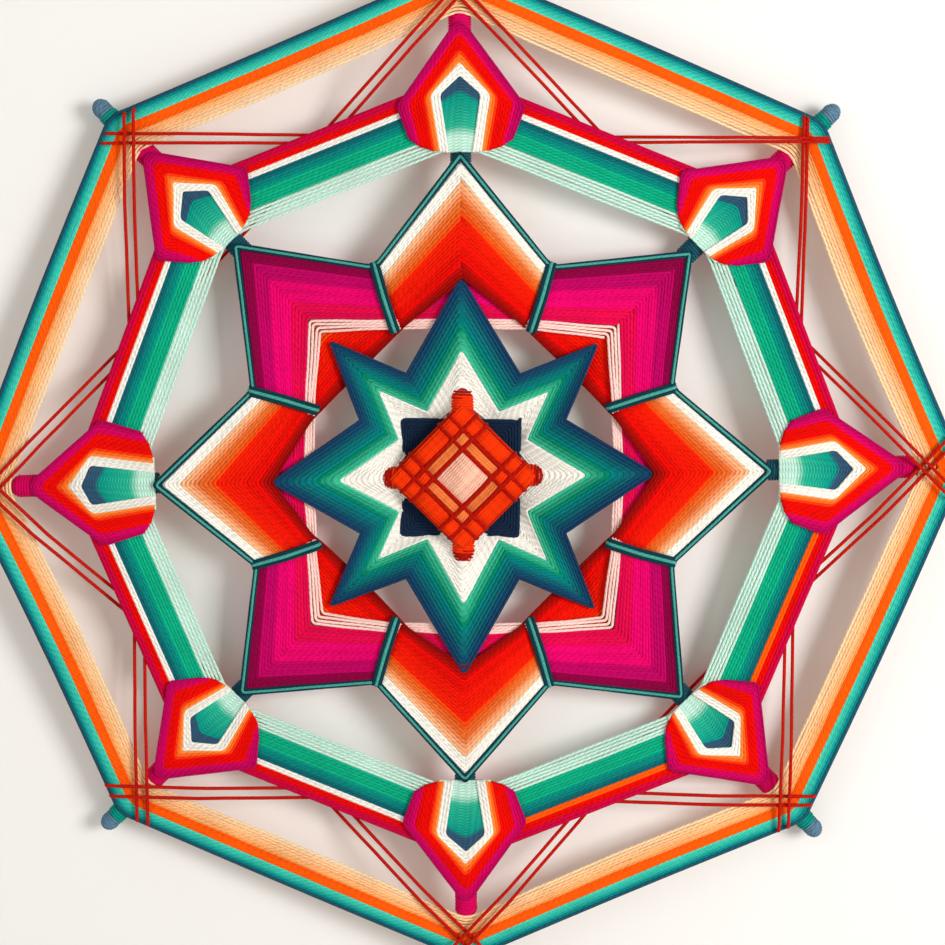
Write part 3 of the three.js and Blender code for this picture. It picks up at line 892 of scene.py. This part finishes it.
# Rows at which the sizes below hold, which are in millimetres
STAR_KNOTS = (0, 8, 19)
STAR_LEVEL_TIPS = (25.0, 41.0, 64.9)
STAR_UPRIGHT_TIPS = (26.0, 42.2, 67.6)
STAR_BACK_TIPS = (27.5, 40.5, 64.2)
STAR_TIPS = (STAR_LEVEL_TIPS, STAR_BACK_TIPS, STAR_UPRIGHT_TIPS, STAR_BACK_TIPS)
STAR_NOTCHES = (20.6, 24.6, 39.8)
STAR_NOTCH_DEPTHS = (8.0, 10.9, 14.8)
STAR_NOTCH_ANGLE = math.radians(29)
STAR_LIFT = 2.3 * MM
STAR_LIFT_START = 30 * MM
STAR_LIFT_END = 45 * MM
STAR_TUCK = 2.2 * MM
STAR_CREASE_BEND = 1.5 * MM
STAR_FRONT_BEND = 2.6 * MM
STAR_BACK_BEND = 1.2 * MM
STAR_COUNTS = (6, 6)
STAR_BETWEEN = (0.33, 0.67)


def star_rows(arm, row):
    """Chevrons of the star on one arm, with their tips. A row comes up from under the crease, runs
    out to its tip on the stick and goes back down into the other crease. Tips, notches and the
    depth of the creases change in step from row to row."""
    front = bool(is_front(arm))
    tip = np.interp(row, STAR_KNOTS, STAR_TIPS[arm % STICK_COUNT]) * MM
    notch = np.interp(row, STAR_KNOTS, STAR_NOTCHES) * MM
    crease = np.interp(row, STAR_KNOTS, STAR_NOTCH_DEPTHS) * MM
    lift = STAR_LIFT * np.interp(tip, [STAR_LIFT_START, STAR_LIFT_END], [0.0, 1.0])
    aside = STAR_NOTCH_ANGLE if front else EIGHTH - STAR_NOTCH_ANGLE
    along = notch * math.cos(aside)
    side = notch * math.sin(aside)
    run = along - tip
    reach = np.hypot(run, side)
    tuck_along = along + STAR_TUCK * run / reach
    tuck_side = side + STAR_TUCK * side / reach
    points = np.stack([
        arm_point(arm, tuck_along, tuck_side, crease - STAR_TUCK),
        arm_point(arm, along, side, crease),
        arm_point(arm, tip, 0.0, seat_depth(arm) + lift),
        arm_point(arm, along, -side, crease),
        arm_point(arm, tuck_along, -tuck_side, crease - STAR_TUCK),
    ], axis=1)
    bend = STAR_FRONT_BEND if front else STAR_BACK_BEND
    return soften(points, np.array([STAR_CREASE_BEND, bend, STAR_CREASE_BEND]), STAR_COUNTS), tip


def wind_star():
    """All rows of the star, a piece for each colour."""
    yarn = sizes().yarn
    first = 0
    for order, band in enumerate(STAR):
        rng = chance("star", order)
        row = np.arange(band.rows)
        tubes = []
        for arm in range(ARMS):
            path, tip = star_rows(arm, first + row)
            dyes = row_dyes(band, row, rng)
            path = wander(path, sizes().sway, rng)
            tubes.append(tube(path, PLUMP * yarn, dyes[:, None]))
            tubes.append(half_wraps(np.full(band.rows, arm), tip, dyes))
            for part in STAR_BETWEEN:
                under = star_rows(arm, first + row + part)[0] - VIEWER * UNDER * yarn
                tubes.append(tube(under, PLUMP * yarn, dyes[:, None]))
        add_piece(f"{band.node}_rows", tubes, [band.node], wool())
        first += band.rows


# Arrowheads

ARROW = (
    Shade(3, "white", "white"),
    Shade(3, "pale_orange", "red_orange"),
    Shade(5, "red", "red"),
    # The magenta rows darken outwards to plum: painted shade on the arrowheads' outer edge.
    Shade(4, "magenta", "plum"),
)
# Rows at which the sizes below hold, which are in millimetres
ARROW_KNOTS = (0, 2, 5, 10, 14)
ARROW_APEXES = (132.0, 135.0, 139.8, 145.0, 150.5)
ARROW_APEX_REACHES = (1.2, 1.4, 1.6, 2.4, 4.6)
ARROW_SHOULDERS = (7.3, 9.6, 12.2, 16.8, 21.2)
ARROW_SHOULDER_ALONGS = (125.6, 125.2, 124.2, 122.6, 121.4)
ARROW_FEET = (4.4, 6.6, 9.0, 13.4, 17.0)
ARROW_FOOT_ALONGS = (106.2, 106.4, 106.8, 108.2, 110.6)
# How far each arrowhead, its shoulders and its feet lie out from their plain place
ARROW_SHIFTS = np.array([1.2, 3.6, 3.3, 4.2, -1.2, 1.8, -1.0, 1.7]) * MM
ARROW_SHOULDER_SHIFTS = np.array([0.0, 0.0, 0.0, 0.0, 2.8, 0.0, 0.0, 0.0]) * MM
ARROW_FOOT_SHIFTS = np.array([0.0, 2.0, 0.0, 2.0, 0.0, 2.0, 0.0, 2.0]) * MM
ARROW_BACK_NARROWING = 0.82
# Height of the rows over the ring, and the apexes between which they settle on the stick
ARROW_OVER = 1.5 * MM
ARROW_SETTLING = (138 * MM, 148 * MM)
# Where a row goes under the ring and behind the stick, with its depths in yarns
ARROW_TURN_IN = 1.5 * MM
ARROW_TURN_DEPTH = 1.6
ARROW_BACK_START = 3 * MM
ARROW_BACK_STEP = 0.8 * MM
ARROW_BACK_DEPTH = 1.5
# Bends at the points of a row, apart from that at the apex
ARROW_BENDS = np.array([1.0, 1.0, 1.6, 0.0, 1.6, 1.0, 1.0]) * MM
ARROW_COUNTS = (3, 5)
ARROW_BETWEEN = 0.5
ARROW_COIL_LEAD = 4.5 * MM
ARROW_COIL_END = 152.6 * MM
ARROW_COIL_PAST = 1.2 * MM
ARROW_COIL_CAP = 2.0 * MM
ARROW_COIL_CORE = 3.05 * MM
WINDOW_HALF = 9 * MM
WINDOW_SLOPE = 0.8
WINDOW_RISE = 0.75 * MM
WINDOW_COUNT = 17
# Parts of a window's length at which its colours change
WINDOW_KNOTS = (0.0, 0.2, 0.34, 0.78, 0.8, 1.0)
WINDOW_DYES = ("mint", "mint", "ring_mint", "ring_teal", "chevron", "chevron")


def ring_depth(arm, along, side):
    """Depth of the ring's rows beside an arm."""
    return between_depth(arm * EIGHTH + np.arctan2(side, along))


def arrow_window(arm):
    """What shows in an arrowhead's window: rows from the ring's inner edge to the white apex,
    straight at first and more and more like chevrons, mint, then teal, then dark."""
    yarn = sizes().yarn
    shift = ARROW_SHIFTS[arm]
    first = ARROW_FOOT_ALONGS[0] * MM + shift + ARROW_FOOT_SHIFTS[arm] + yarn / 2
    last = ARROW_APEXES[0] * MM + shift - yarn / 2
    part = np.linspace(0.0, 1.0, round((last - first) / yarn))[:, None]
    side = WINDOW_HALF * np.linspace(-1.0, 1.0, WINDOW_COUNT)
    along = mix(first, last, part) - WINDOW_SLOPE * part * (np.hypot(side, yarn) - yarn)
    depth = ring_depth(arm, along, np.abs(side)) + WINDOW_RISE
    knots = np.array([linear(name) for name in WINDOW_DYES])
    dyes = np.stack([np.interp(part, WINDOW_KNOTS, knot) for knot in knots.T], axis=-1)
    return tube(arm_point(arm, along, side, depth), PLUMP * yarn, dyes)


def arrow_rows(arm, row):
    """Pentagon rows of an arrowhead. From behind the stick a row goes out to a foot at the ring's
    inner edge, over the ring to a shoulder, to the apex on the stick, and back the same way."""

    def at_rows(millimetres):
        """A size at each row, in a straight line from knot to knot."""
        return np.interp(row, ARROW_KNOTS, millimetres) * MM

    yarn = sizes().yarn
    shift = ARROW_SHIFTS[arm]
    apex = at_rows(ARROW_APEXES)
    shoulder = at_rows(ARROW_SHOULDERS)
    shoulder_along = at_rows(ARROW_SHOULDER_ALONGS) + shift + ARROW_SHOULDER_SHIFTS[arm]
    shoulder_depth = ring_depth(arm, shoulder_along, shoulder) + ARROW_OVER
    foot = at_rows(ARROW_FEET) * (1.0 if is_front(arm) else ARROW_BACK_NARROWING)
    foot_along = at_rows(ARROW_FOOT_ALONGS) + shift + ARROW_FOOT_SHIFTS[arm]
    foot_depth = ring_depth(arm, foot_along, foot)
    turn_depth = foot_depth - ARROW_TURN_DEPTH * yarn
    behind = arm_point(arm, foot_along + ARROW_BACK_START + ARROW_BACK_STEP * row, 0.0,
                       stick_depth(arm) - STICK_RADIUS - ARROW_BACK_DEPTH * yarn)
    over = np.interp(apex, ARROW_SETTLING, [ARROW_OVER, yarn / 2])
    top = arm_point(arm, apex + shift, 0.0, seat_depth(arm) + over)
    left, right = ([
        arm_point(arm, foot_along + ARROW_TURN_IN, sign * foot, turn_depth),
        arm_point(arm, foot_along, sign * foot, foot_depth + ARROW_OVER),
        arm_point(arm, shoulder_along, sign * shoulder, shoulder_depth),
    ] for sign in (1, -1))
    points = np.stack([behind, *left, top, *right[::-1], behind], axis=1)
    bends = np.tile(ARROW_BENDS, (len(row), 1))
    bends[:, len(left)] = at_rows(ARROW_APEX_REACHES)
    return soften(points, bends, ARROW_COUNTS)


def wind_arrow(arm):
    """One arrowhead, with the coil that ends it on the stick."""
    yarn = sizes().yarn
    rng = chance("arrowhead", arm)
    tubes = []
    first = 0
    for shade in ARROW:
        row = np.arange(shade.rows)
        path = wander(arrow_rows(arm, first + row), sizes().sway, rng)
        dyes = row_dyes(shade, row, rng)[:, None]
        tubes.append(tube(path, PLUMP * yarn, dyes))
        under = arrow_rows(arm, first + row + ARROW_BETWEEN) - VIEWER * UNDER * yarn
        tubes.append(tube(under, PLUMP * yarn, dyes))
        first += shade.rows
    apex = ARROW_APEXES[-1] * MM + ARROW_SHIFTS[arm]
    turn = max(ARROW_COIL_END, apex + ARROW_COIL_PAST)
    tubes += capped_coil(arm, apex - ARROW_COIL_LEAD, turn, turn + ARROW_COIL_CAP,
                         ARROW_COIL_CORE, "magenta", "magenta")
    tubes.append(arrow_window(arm))
    node = f"arrowhead_{ARM_NAMES[arm]}"
    add_piece(f"{node}_rows", tubes, [node], wool())


# Bindings at the crossings of the two frames

CROSSING_INNER = 54.6 * MM
CROSSING_OUTER = 78.6 * MM
CROSSING_SLANT = math.radians(2.5)
CROSSING_STEP = 1.15 * MM
CROSSING_YARN = 1.35 * MM
CROSSING_CLEAR = 1.3
CROSSING_LAP = 0.8 * MM
CROSSING_BEND = 1.6 * MM
CROSSING_COUNTS = (4, 5)
# Places of a loop's points, from the inner end to the outer one
CROSSING_LOOP = np.array([0.5, 1.0, 1.0, 0.5, 0.0, 0.0, 0.5])


def wind_crossing(place):
    """Three yarns side by side that bind the square and the diamond where they cross. Each is a
    loop along the radius, in front of the upper layer and behind the lower one. The paler middle
    yarn holds a painted highlight and the darker outer two painted shade, besides the cord's own
    two teals."""
    middle = (place + 0.5) * EIGHTH
    towards = -1 if is_front(place) else 1
    centre = between_depth(middle)
    clear = CROSSING_CLEAR * sizes().cord
    front = centre + sizes().layer + clear
    back = centre - clear
    lap = front - CROSSING_LAP
    radii = mix(CROSSING_INNER, CROSSING_OUTER, CROSSING_LOOP)
    sideways = polar(middle + math.pi / 2, 1.0, 0.0)
    tubes = []
    for offset, name in zip((-1, 0, 1), CORD_LIT_AND_SHADED_DYES):
        crown = CORD_CROWN * (offset == 0)
        outer = middle + offset * CROSSING_STEP / CROSSING_OUTER
        inner = middle - towards * CROSSING_SLANT + offset * CROSSING_STEP / CROSSING_INNER
        depths = [back, back, lap, front + crown, lap, back, back]
        points = polar(mix(inner, outer, CROSSING_LOOP), radii, depths)[None]
        path = soften(points, CROSSING_BEND, CROSSING_COUNTS)
        tubes.append(tube(path, CROSSING_YARN, linear(name), sideways))
    node = f"crossing_wrap_{ARM_NAMES[place]}"
    add_piece(f"{node}_strands", tubes, [node], cord_yarn())


# The two eyes at the centre

NAVY_EYE = (Band("navy_eye", "navy_yarn", 12, "eye_navy", "eye_navy", 12.0),)
NAVY_EYE_START = 8.2 * MM
NAVY_EYE_SHIFT = np.array([-1.3, -0.5, -0.8]) * MM
NAVY_EYE_BEND = 1.5 * MM
EYE_CELLS = 5
EYE_MIDDLE = EYE_CELLS // 2
EYE_EDGES = np.array([-18.4, -11.5, -7.0, 7.0, 11.5, 18.4]) * MM
EYE_CHANCE = 0.07
EYE_LINE_YARN = 1.6 * MM
EYE_LINE_RISE = 0.25 * MM
EYE_LINE_COUNT = 61
EYE_ROW_STEP = 0.86
EYE_ROW_COUNT = 25
# A cell's bulge, the part of it that lies below the face, and the painted shade, in red, on its
# edges
EYE_BULGE = 1.4 * MM
EYE_BULGE_SINK = 0.5
EYE_EDGE_SHADES = {"pink": 0.12, "peach": 0.4, "orange": 0.85}
EYE_BASE = 17.0 * MM
EYE_DOME = 2.0 * MM
EYE_DOME_WIDTH = 11 * MM
EYE_RIDGE = 1.0 * MM
EYE_RIDGE_WIDTH = 2.4 * MM
EYE_RIDGE_REACH = 6.5 * MM
EYE_TUCK = 3.2 * MM
EYE_TUCK_START = 16.4 * MM
EYE_TUCK_MOST = 0.995
STUB_START = 18 * MM
STUB_TURNS = {0: 24.4 * MM, 2: 28.0 * MM, 4: 24.2 * MM, 6: 26.4 * MM}
STUB_CAP = 4.0 * MM
STUB_CORE = 3.1 * MM


def navy_place(steps, lay):
    """Corners of the navy square, each on an arm of the back cross."""
    arm = 1 + 2 * steps
    return polar(arm * EIGHTH, lay * math.sqrt(2), seat_depth(arm)) + NAVY_EYE_SHIFT


def navy_corner(steps, lay):
    """Where the navy rows go round the sticks of the back cross: at every step."""
    return np.ones(len(steps), dtype=bool), 1 + 2 * steps, lay * math.sqrt(2)


def navy_reach(steps):
    """Bends of the navy rows, all alike."""
    return np.full(len(steps), NAVY_EYE_BEND)


def eye_point(rising, falling, depth):
    """Points of the centre eye by their distances to the upper right and to the upper left."""
    angle = EIGHTH + np.arctan2(falling, rising)
    return polar(angle, np.hypot(rising, falling), depth)


def eye_depth(rising, falling):
    """Depth of the centre eye's face: a bell over its middle, a ridge over the upright stick in
    the pink, and an edge that turns back by a quarter circle's law."""
    sideways = (rising - falling) / math.sqrt(2)
    square = rising**2 + falling**2
    bell = EYE_DOME * np.exp(-square / (2 * EYE_DOME_WIDTH**2))
    pink = np.exp(-((square / EYE_RIDGE_REACH**2) ** 2))
    ridge = EYE_RIDGE * pink * np.exp(-sideways**2 / (2 * EYE_RIDGE_WIDTH**2))
    out = np.maximum(np.abs(rising), np.abs(falling)) - EYE_TUCK_START
    past = np.clip(out / (EYE_EDGES[-1] - EYE_TUCK_START), 0.0, EYE_TUCK_MOST)
    return EYE_BASE + bell + ridge - EYE_TUCK * (1 - np.sqrt(1 - past**2))


def eye_cell(column, place, name, edge_shade, rng):
    """Rows of one cell of the eye's lattice, along the eye's nearest edge. The cell bulges as one
    minus the fourth power of the distance from its middle, both along and across its rows. Its
    edges are painted towards red, as shade where the cell sinks between the lines."""
    yarn = sizes().yarn
    rising = EYE_EDGES[column:column + 2]
    falling = EYE_EDGES[place:place + 2]
    upright = abs(column - EYE_MIDDLE) > abs(place - EYE_MIDDLE)
    run, stack = (falling, rising) if upright else (rising, falling)
    count = max(int(round((stack[1] - stack[0]) / (EYE_ROW_STEP * yarn))), 2)
    across = stack[0] + (stack[1] - stack[0]) * (np.arange(count) + 0.5) / count
    along, across = np.meshgrid(np.linspace(run[0], run[1], EYE_ROW_COUNT), across)
    along_power = (2 * (along - run.mean()) / (run[1] - run[0])) ** 4
    across_power = (2 * (across - stack.mean()) / (stack[1] - stack[0])) ** 4
    bulge = EYE_BULGE * ((1 - along_power) * (1 - across_power) - EYE_BULGE_SINK)
    first, second = (across, along) if upright else (along, across)
    path = eye_point(first, second, eye_depth(first, second) + bulge)
    light = rng.normal(1.0, EYE_CHANCE, (count, 1, 1))
    # Painted shade: the cell's edges, where it sinks between the lines, are mixed towards the
    # lines' red.
    edge = np.maximum(along_power, across_power)[..., None]
    dyes = np.clip(mix(linear(name), linear("eye_red"), edge_shade * edge) * light, 0.0, 1.0)
    return tube(wander(path, sizes().sway, rng), PLUMP * yarn, dyes)


def wind_centre_eye():
    """The centre eye in its three colours: a lattice of five by five puffy cells, with dark lines
    over their edges and stubs wrapped on the front cross."""
    rng = chance("centre_eye")
    cells = {"pink": [], "peach": [], "orange": []}
    for column in range(EYE_CELLS):
        for place in range(EYE_CELLS):
            out = max(abs(column - EYE_MIDDLE), abs(place - EYE_MIDDLE))
            on_level_arm = column + place == 2 * EYE_MIDDLE
            if out == 0:
                dyed, cell = "centre_pink", "pink"
            elif out == 1 and not on_level_arm:
                dyed, cell = "centre_peach", "peach"
            else:
                dyed, cell = "eye_orange", "orange"
            cells[cell].append(eye_cell(column, place, dyed, EYE_EDGE_SHADES[cell], rng))
    lines = EYE_EDGES[1:-1, None]
    run = np.linspace(EYE_EDGES[0], EYE_EDGES[-1], EYE_LINE_COUNT)[None]
    for first, second in ((lines, run), (run, lines)):
        first, second = np.broadcast_arrays(first, second)
        path = eye_point(first, second, eye_depth(first, second) + EYE_LINE_RISE)
        cells["orange"].append(tube(path, EYE_LINE_YARN, linear("eye_red")))
    for arm, turn in STUB_TURNS.items():
        cells["orange"] += capped_coil(arm, STUB_START, turn, turn + STUB_CAP, STUB_CORE,
                                       "eye_orange", "eye_red")
    for cell, tubes in cells.items():
        node = f"centre_eye_{cell}"
        add_piece(f"{node}_rows", tubes, [node], wool())


# Lacing and tips

# Where the lacing's two loops cross each arm, in millimetres, from east round to south-east
LACING_CROSSES = (
    (155.1, 161.1, 160.5, 158.4, 158.0, 155.2, 159.0, 157.2),
    (158.8, 162.9, 165.0, 162.9, 163.0, 160.4, 164.0, 161.7),
)
LACING_EDGE = 169.6 * MM
LACING_INSET = 22 * MM
LACING_NEAR = 0.3
LACING_BEND = 1.6 * MM
LACING_BACK = 3.8 * MM
LACING_HEM = 1.6 * MM
LACING_BEHIND = 1.9 * MM
LACING_LAP = 1.7 * MM
LACING_STEP = 1.4 * MM
LACING_COUNTS = (5, 5)
SQUARE_LACING_RISE = 0.5 * MM
DIAMOND_LACING_RISE = 3.6 * MM
TIP_TEAL_START = 167.2 * MM
TIP_START = 172.2 * MM
TIP_TURN = 175.8 * MM
TIP_PAST = 1.0 * MM
TIP_CORE = 2.35 * MM
TIP_TEAL_CORE = 2.6 * MM


def lacing_path(first_arm, crosses, rise):
    """One loop of the lacing. At each of its own arms it crosses over the outer band, goes round
    the band's edge and behind the stick, and comes up on the other side of the arm. From there it
    runs straight to the next of its arms, behind the arm in between."""
    arm = first_arm + np.arange(0, ARMS + 1, 2)
    cross = np.array(crosses)[arm % ARMS] * MM
    vertex = arm_point(arm, cross, 0.0, 0.0)
    start, end = vertex[:-1], vertex[1:]
    along = (end - start) / np.linalg.norm(end - start, axis=-1, keepdims=True)
    following = np.roll(along, -1, axis=0)
    past = ((LACING_EDGE - cross) / (1 + math.tan(SIXTEENTH)) * math.sqrt(2))[:, None]
    front = seat_depth(arm) + LACING_LAP
    back = stick_depth(arm) - LACING_BACK
    hem = between_depth(arm * EIGHTH + past[:, 0] / math.sqrt(2) / cross) - LACING_HEM
    behind = stick_depth(arm[:-1] + 1) - STICK_RADIUS - LACING_BEHIND
    inside = between_depth(arm * EIGHTH + LACING_INSET / cross) + LACING_LAP
    places = [
        (start - along * past[:-1], front[:-1] + LACING_STEP),
        (start + along * LACING_INSET, inside[:-1] + LACING_STEP),
        (mix(start, end, LACING_NEAR), behind + rise),
        (mix(start, end, 0.5), behind),
        (mix(start, end, 1 - LACING_NEAR), behind + rise),
        (end - along * LACING_INSET, inside[1:]),
        (end + along * past[1:], front[1:]),
        (end + along * past[1:], hem[1:]),
        (end, back[1:]),
        (end - following * past[1:], hem[1:]),
    ]
    points = np.stack([place + VIEWER * depth[:, None] for place, depth in places], axis=1)
    closed = np.concatenate([points.reshape(1, -1, 3), points[:1, :1]], axis=1)
    return soften(closed, LACING_BEND, LACING_COUNTS)


def wind_lacing(node, first_arm, rise):
    """A lacing of two loops, one a little outside the other."""
    tubes = []
    for order, crosses in enumerate(LACING_CROSSES):
        path = lacing_path(first_arm, crosses, rise)
        path = wander(path, sizes().sway, chance("lacing", order))
        tubes.append(tube(path, sizes().lacing, linear("lacing_red")))
    add_piece(f"{node}_strands", tubes, [node], cord_yarn())


def wind_tip(arm):
    """A teal coil that ends the outer band on a stick, and a slate knob closed over its end."""
    teal = stick_coil(arm, TIP_TEAL_START, TIP_START, TIP_TEAL_CORE, "ring_teal")
    knob = capped_coil(arm, TIP_START, TIP_TURN, TIP_RADIUS + TIP_PAST, TIP_CORE, "slate", "slate")
    node = f"tip_wrap_{ARM_NAMES[arm]}"
    add_piece(f"{node}_coil", [teal, *knob], [node], wool())


# Operators


class OJO_OT_sticks(Operator):
    """Give the four dowels their wood"""

    bl_idname = "ojo.sticks"
    bl_label = "Sticks"

    def execute(self, context):
        for arm, name in enumerate(STICKS):
            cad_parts[name].data.materials[0] = wood_material(f"{name}_wood", arm)
        return {"FINISHED"}


class OJO_OT_eyes(Operator):
    """Wind the centre eye and the navy eye behind it"""

    bl_idname = "ojo.eyes"
    bl_label = "Eyes"

    def execute(self, context):
        wind_centre_eye()
        wind("navy_eye", NAVY_EYE, NAVY_EYE_START, ARMS // 2, navy_place, navy_corner, navy_reach)
        return {"FINISHED"}


class OJO_OT_star(Operator):
    """Wind the eight-pointed star"""

    bl_idname = "ojo.star"
    bl_label = "Star"

    def execute(self, context):
        wind_star()
        return {"FINISHED"}


class OJO_OT_frames(Operator):
    """Wind the square and the diamond, with their edging cords"""

    bl_idname = "ojo.frames"
    bl_label = "Square and diamond"

    def execute(self, context):
        for kind, bands in FRAMES.items():
            wind(kind, bands, frame_start(kind), FRAME_POINTS, frame_place(kind),
                 frame_corner(kind), frame_reach, "square_pink")
        for kind, bands in FRAMES.items():
            wind_edging(kind, bands)
        for place in range(ARMS):
            wind_crossing(place)
        return {"FINISHED"}


class OJO_OT_ring(Operator):
    """Wind the ring and the eight arrowheads over it"""

    bl_idname = "ojo.ring"
    bl_label = "Ring and arrowheads"

    def execute(self, context):
        wind("ring", RING, sizes().ring_start, ARMS, ring_place, ring_corner, ring_reach,
             "ring_mint")
        for arm in range(ARMS):
            wind_arrow(arm)
        return {"FINISHED"}


class OJO_OT_band(Operator):
    """Wind the outer band, its lacing and the stick tips"""

    bl_idname = "ojo.band"
    bl_label = "Outer band"

    def execute(self, context):
        wind("band", BAND, sizes().band_start, 2 * ARMS, band_place, band_corner, band_reach,
             "band_peach", BAND_CLOSING)
        wind_lacing("square_lacing", FIRST_ARMS["square"], SQUARE_LACING_RISE)
        wind_lacing("diamond_lacing", FIRST_ARMS["diamond"], DIAMOND_LACING_RISE)
        for arm in range(ARMS):
            wind_tip(arm)
        return {"FINISHED"}


# Stage

# The camera's turns about X, Y and Z in degrees, its place before them and its lens in millimetres
CAMERA_TURN = (6.017, -0.221, -0.637)
CAMERA_PLACE = (3.11 * MM, -708 * MM, -0.105 * MM)
CAMERA_LENS = 77.3
CAMERA_NEAR = 10 * MM
WALL_GAP = 1 * MM
FLOOR_DROP = 12 * MM
STAGE_HALF = 3.0
FLOOR_PAINT = (0.80, 0.79, 0.77, 1.0)
WALL_PAINT = (0.88, 0.86, 0.825, 1.0)
# Name, place, width and power of each lamp
LIGHTS = (
    ("key", (0.80, -0.95, 0.15), 0.45, 11.0),
    ("left_fill", (-0.9, -0.9, 0.3), 1.0, 3.0),
    ("back_fill", (-0.5, 1.1, 0.7), 1.2, 8.0),
)
WORLD_COLOUR = (1.0, 0.985, 0.96, 1.0)
WORLD_LIGHT = 0.42


def plain_material(name, paint, one_sided):
    """A pale matt finish. A one-sided one lets the view through from its back."""
    material, tree, shader = new_material(name)
    fill(tree, shader, {"Base Color": paint, "Roughness": 0.9, "Specular IOR Level": 0.1})
    if one_sided:
        behind = add_node(tree, "ShaderNodeNewGeometry")["Backfacing"]
        clear = add_node(tree, "ShaderNodeBsdfTransparent")["BSDF"]
        values = {"Fac": behind, 1: shader.outputs["BSDF"], 2: clear}
        both = add_node(tree, "ShaderNodeMixShader", values)["Shader"]
        fill(tree, tree.nodes["Material Output"], {"Surface": both})
    return material


def plane(name, corners, material):
    """A flat piece of the stage, from its four corners."""
    mesh = bpy.data.meshes.new(name)
    mesh.from_pydata(corners, [], [(0, 1, 2, 3)])
    mesh.materials.append(material)
    piece = bpy.data.objects.new(name, mesh)
    bpy.context.scene.collection.objects.link(piece)
    return piece


def add_lamps(scene):
    """Soft square lamps, each turned to face the centre."""
    for name, place, size, power in LIGHTS:
        lamp = bpy.data.lights.new(name, "AREA")
        lamp.size = size
        lamp.energy = power
        light = bpy.data.objects.new(name, lamp)
        light.location = place
        light.rotation_euler = (-Vector(place)).to_track_quat("-Z", "Y").to_euler()
        scene.collection.objects.link(light)


def add_world(scene):
    """An even light from all round."""
    world = bpy.data.worlds.new("studio")
    world.use_nodes = True
    sky = world.node_tree.nodes["Background"]
    fill(world.node_tree, sky, {"Color": WORLD_COLOUR, "Strength": WORLD_LIGHT})
    scene.world = world


def add_camera(scene):
    """A camera that looks along +Y from its place, with both turned back about the centre."""
    tilt, roll, yaw = (math.radians(angle) for angle in CAMERA_TURN)
    turn = (Matrix.Rotation(tilt, 3, "X") @ Matrix.Rotation(roll, 3, "Y")
            @ Matrix.Rotation(yaw, 3, "Z"))
    back = turn.transposed()
    sight = Matrix(((1, 0, 0), (0, 0, -1), (0, 1, 0)))
    lens = bpy.data.cameras.new("camera")
    lens.lens = CAMERA_LENS
    lens.clip_start = CAMERA_NEAR
    camera = bpy.data.objects.new("camera", lens)
    camera.matrix_world = (back @ sight).to_4x4()
    camera.location = back @ Vector(CAMERA_PLACE)
    scene.collection.objects.link(camera)
    scene.camera = camera


class OJO_OT_stage(Operator):
    """Set the pale wall and floor, the soft light and the camera"""

    bl_idname = "ojo.stage"
    bl_label = "Stage"

    def execute(self, context):
        scene = context.scene
        low = cad_low.z - FLOOR_DROP
        half = STAGE_HALF
        plane("floor", [(-half, -half, low), (half, -half, low), (half, half, low),
                        (-half, half, low)],
              plain_material("floor_paint", FLOOR_PAINT, False))
        wall = plane("wall", [(-half, WALL_GAP, low), (half, WALL_GAP, low),
                              (half, WALL_GAP, half), (-half, WALL_GAP, half)],
                     plain_material("wall_paint", WALL_PAINT, True))
        wall.visible_diffuse = False
        wall.visible_glossy = False
        wall.visible_shadow = False
        add_lamps(scene)
        add_world(scene)
        add_camera(scene)
        scene.view_settings.view_transform = "Standard"
        return {"FINISHED"}


class OJO_PT_panel(Panel):
    bl_idname = "OJO_PT_panel"
    bl_label = "Ojo de dios"
    bl_space_type = "VIEW_3D"
    bl_region_type = "UI"
    bl_category = "Ojo de dios"

    def draw(self, context):
        for operator in OPERATORS:
            self.layout.operator(operator.bl_idname)
        for group in (context.scene.ojo_sizes, context.scene.ojo_dyes):
            box = self.layout.box()
            for name in group.bl_rna.properties.keys():
                if name not in ("rna_type", "name"):
                    box.prop(group, name)


OPERATORS = (OJO_OT_sticks, OJO_OT_eyes, OJO_OT_star, OJO_OT_frames, OJO_OT_ring, OJO_OT_band,
             OJO_OT_stage)
CLASSES = (OjoSizes, OjoDyes, *OPERATORS, OJO_PT_panel)


def register():
    """Adds the classes, and their sizes and dyes to the scene."""
    for each in CLASSES:
        bpy.utils.register_class(each)
    bpy.types.Scene.ojo_sizes = PointerProperty(type=OjoSizes)
    bpy.types.Scene.ojo_dyes = PointerProperty(type=OjoDyes)


def unregister():
    """Takes away what register adds, in the opposite order."""
    del bpy.types.Scene.ojo_dyes
    del bpy.types.Scene.ojo_sizes
    for each in reversed(CLASSES):
        bpy.utils.unregister_class(each)


def main():
    """Builds the part and its stage."""
    register()
    bpy.ops.ojo.sticks()
    bpy.ops.ojo.eyes()
    bpy.ops.ojo.star()
    bpy.ops.ojo.frames()
    bpy.ops.ojo.ring()
    bpy.ops.ojo.band()
    bpy.ops.ojo.stage()


if __name__ == "__main__":
    main()
